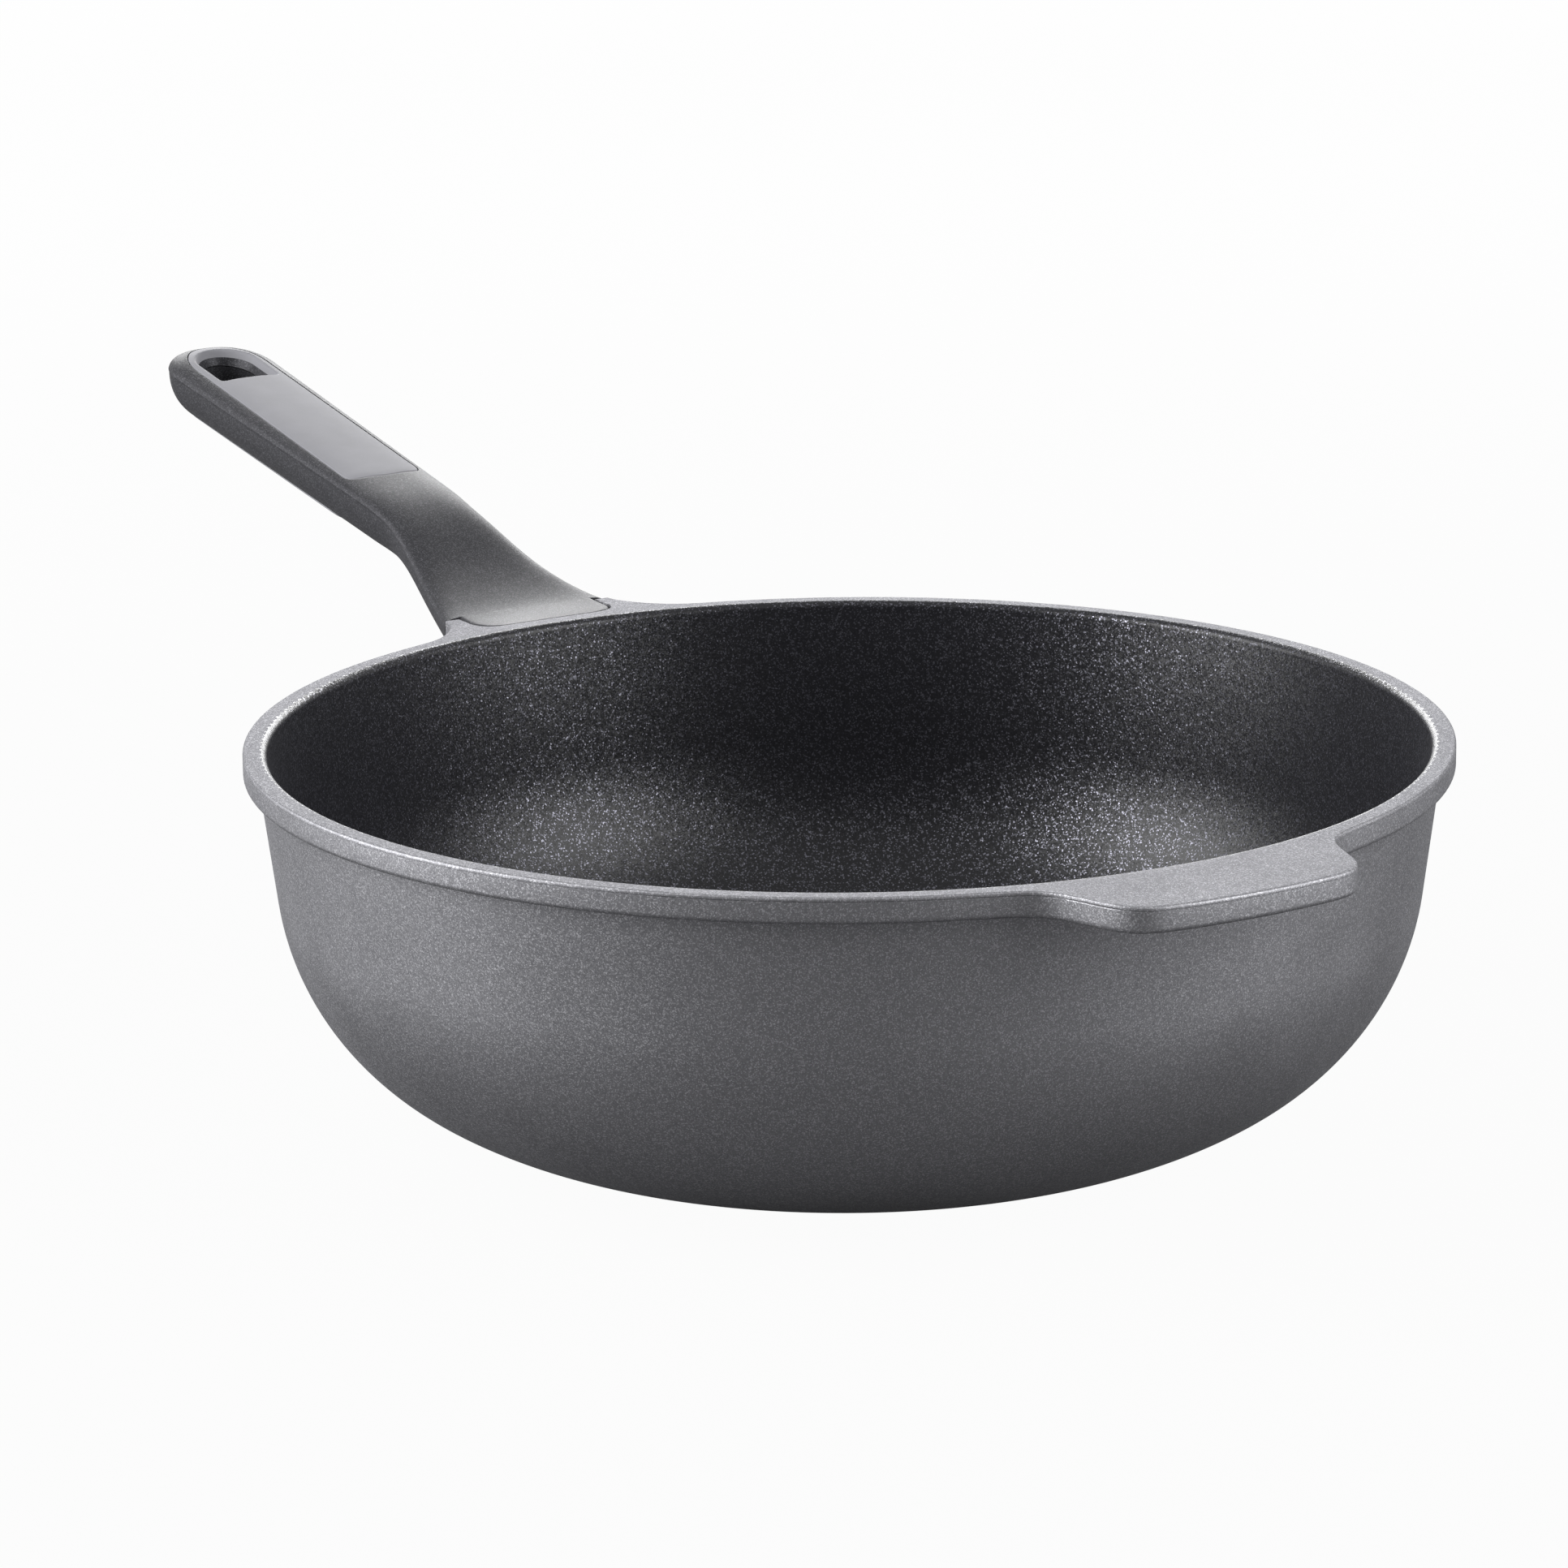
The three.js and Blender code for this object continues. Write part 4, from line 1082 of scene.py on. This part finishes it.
# Stage, in metres: a pale floor that shows white, a dark wall behind the camera that the metal reflects,
# and softboxes, each with its place to the right, ahead and up, its width, its height and its watts
AHEAD = Vector((0.852, -0.523, 0))
RIGHT = Vector((AHEAD.y, -AHEAD.x, 0))
UP = Vector((0, 0, 1))
FLOOR_DROP = 0.0002
FLOOR_HALF_WIDTH = 6.0
FLOOR_FADE_START = 0.4
FLOOR_FADE_END = 2.5
DARK_WALL_BACK = 2.6
DARK_WALL_MIDDLE = 0.9
DARK_WALL_HALF_WIDTH = 3.0
DARK_WALL_HALF_HEIGHT = 1.4
SOFTBOXES = {
    "left_softbox": (-1.28, -0.15, 0.6, 1.0, 1.2, 40),
    "right_softbox": (1.19, -0.48, 0.62, 1.0, 1.2, 26),
    "back_softbox": (0, 1.6, 0.6, 1.4, 0.4, 21),
}


def panel(name, centre, across, up, material):
    """A flat rectangle from its centre and its half sides."""
    mesh = bpy.data.meshes.new(name)
    corners = [centre + a * across + b * up for a, b in ((-1, -1), (1, -1), (1, 1), (-1, 1))]
    mesh.from_pydata([tuple(corner) for corner in corners], [], [(0, 1, 2, 3)])
    mesh.materials.append(material)
    item = bpy.data.objects.new(name, mesh)
    bpy.context.scene.collection.objects.link(item)
    return item


def seen(tree):
    """1 on rays from the camera, from gloss and through glass, and 0 on the rest."""
    path = add(tree, "ShaderNodeLightPath").outputs
    rays = path["Is Camera Ray"]
    for kind in ("Is Glossy Ray", "Is Transmission Ray"):
        rays = add(tree, "ShaderNodeMath", {0: rays, 1: path[kind]}, operation="MAXIMUM").outputs[0]
    return rays


def pale_floor():
    """Matt floor that the camera sees nearly white, with the object's shadow kept. Gloss sees it matt
    close by and white far off."""
    material, tree, where = blank("white_paper_floor")
    away = add(tree, "ShaderNodeVectorMath", {0: where}, operation="LENGTH").outputs[1]
    direct = add(tree, "ShaderNodeLightPath").outputs["Is Camera Ray"]
    near = add(tree, "ShaderNodeMapRange", {"Value": direct, "To Min": 0.05, "To Max": 0.96}).outputs[0]
    share = add(tree, "ShaderNodeMapRange", {
        "Value": away, "From Min": FLOOR_FADE_START / MM, "From Max": FLOOR_FADE_END / MM,
        "To Min": near, "To Max": 1.0,
    }).outputs[0]
    share = add(tree, "ShaderNodeMath", {0: seen(tree), 1: share}, operation="MULTIPLY").outputs[0]
    matt = add(tree, "ShaderNodeBsdfDiffuse", {"Color": linear("#808081")}).outputs[0]
    white = add(tree, "ShaderNodeEmission", {"Strength": 1.0}).outputs[0]
    both = add(tree, "ShaderNodeMixShader", {0: share, 1: matt, 2: white}).outputs[0]
    add(tree, "ShaderNodeOutputMaterial", {"Surface": both})
    return material


def dark_wall():
    """Dark matt cloth."""
    material, tree, _ = blank("dark_studio_cloth")
    shaded(tree, {"Base Color": linear("#2a2a2c"), "Roughness": 0.9})
    return material


def softbox(name, place_at, width, height, power):
    """Broad soft light that faces the object."""
    light = bpy.data.lights.new(name, "AREA")
    light.shape = "RECTANGLE"
    light.size, light.size_y = width, height
    light.energy = power
    item = bpy.data.objects.new(name, light)
    item.location = place_at
    item.rotation_mode = "QUATERNION"
    item.rotation_quaternion = (AIM - place_at).to_track_quat("-Z", "Y")
    item.visible_camera = False
    bpy.context.scene.collection.objects.link(item)


def white_world():
    """Surroundings that look white and that gloss shows white, with a lower level of fill light."""
    world = bpy.data.worlds.new("white_studio")
    world.use_nodes = True
    tree = world.node_tree
    tree.nodes.clear()
    level = add(tree, "ShaderNodeMapRange", {"Value": seen(tree), "To Min": 0.08, "To Max": 1.0})
    sky = add(tree, "ShaderNodeBackground", {
        "Color": linear("#ffffff"), "Strength": level.outputs[0]}).outputs[0]
    add(tree, "ShaderNodeOutputWorld", {"Surface": sky})
    bpy.context.scene.world = world


floor_across = Vector((FLOOR_HALF_WIDTH, 0, 0))
floor_along = Vector((0, FLOOR_HALF_WIDTH, 0))
panel("floor", -FLOOR_DROP * UP, floor_across, floor_along, pale_floor())
wall_centre = -DARK_WALL_BACK * AHEAD + DARK_WALL_MIDDLE * UP
wall_across = DARK_WALL_HALF_WIDTH * RIGHT
wall = panel("dark_wall", wall_centre, wall_across, DARK_WALL_HALF_HEIGHT * UP, dark_wall())
wall.visible_camera = False
for name, (right, ahead, up, width, height, power) in SOFTBOXES.items():
    softbox(name, right * RIGHT + ahead * AHEAD + up * UP, width, height, power)
white_world()
bpy.context.scene.view_settings.view_transform = "Standard"
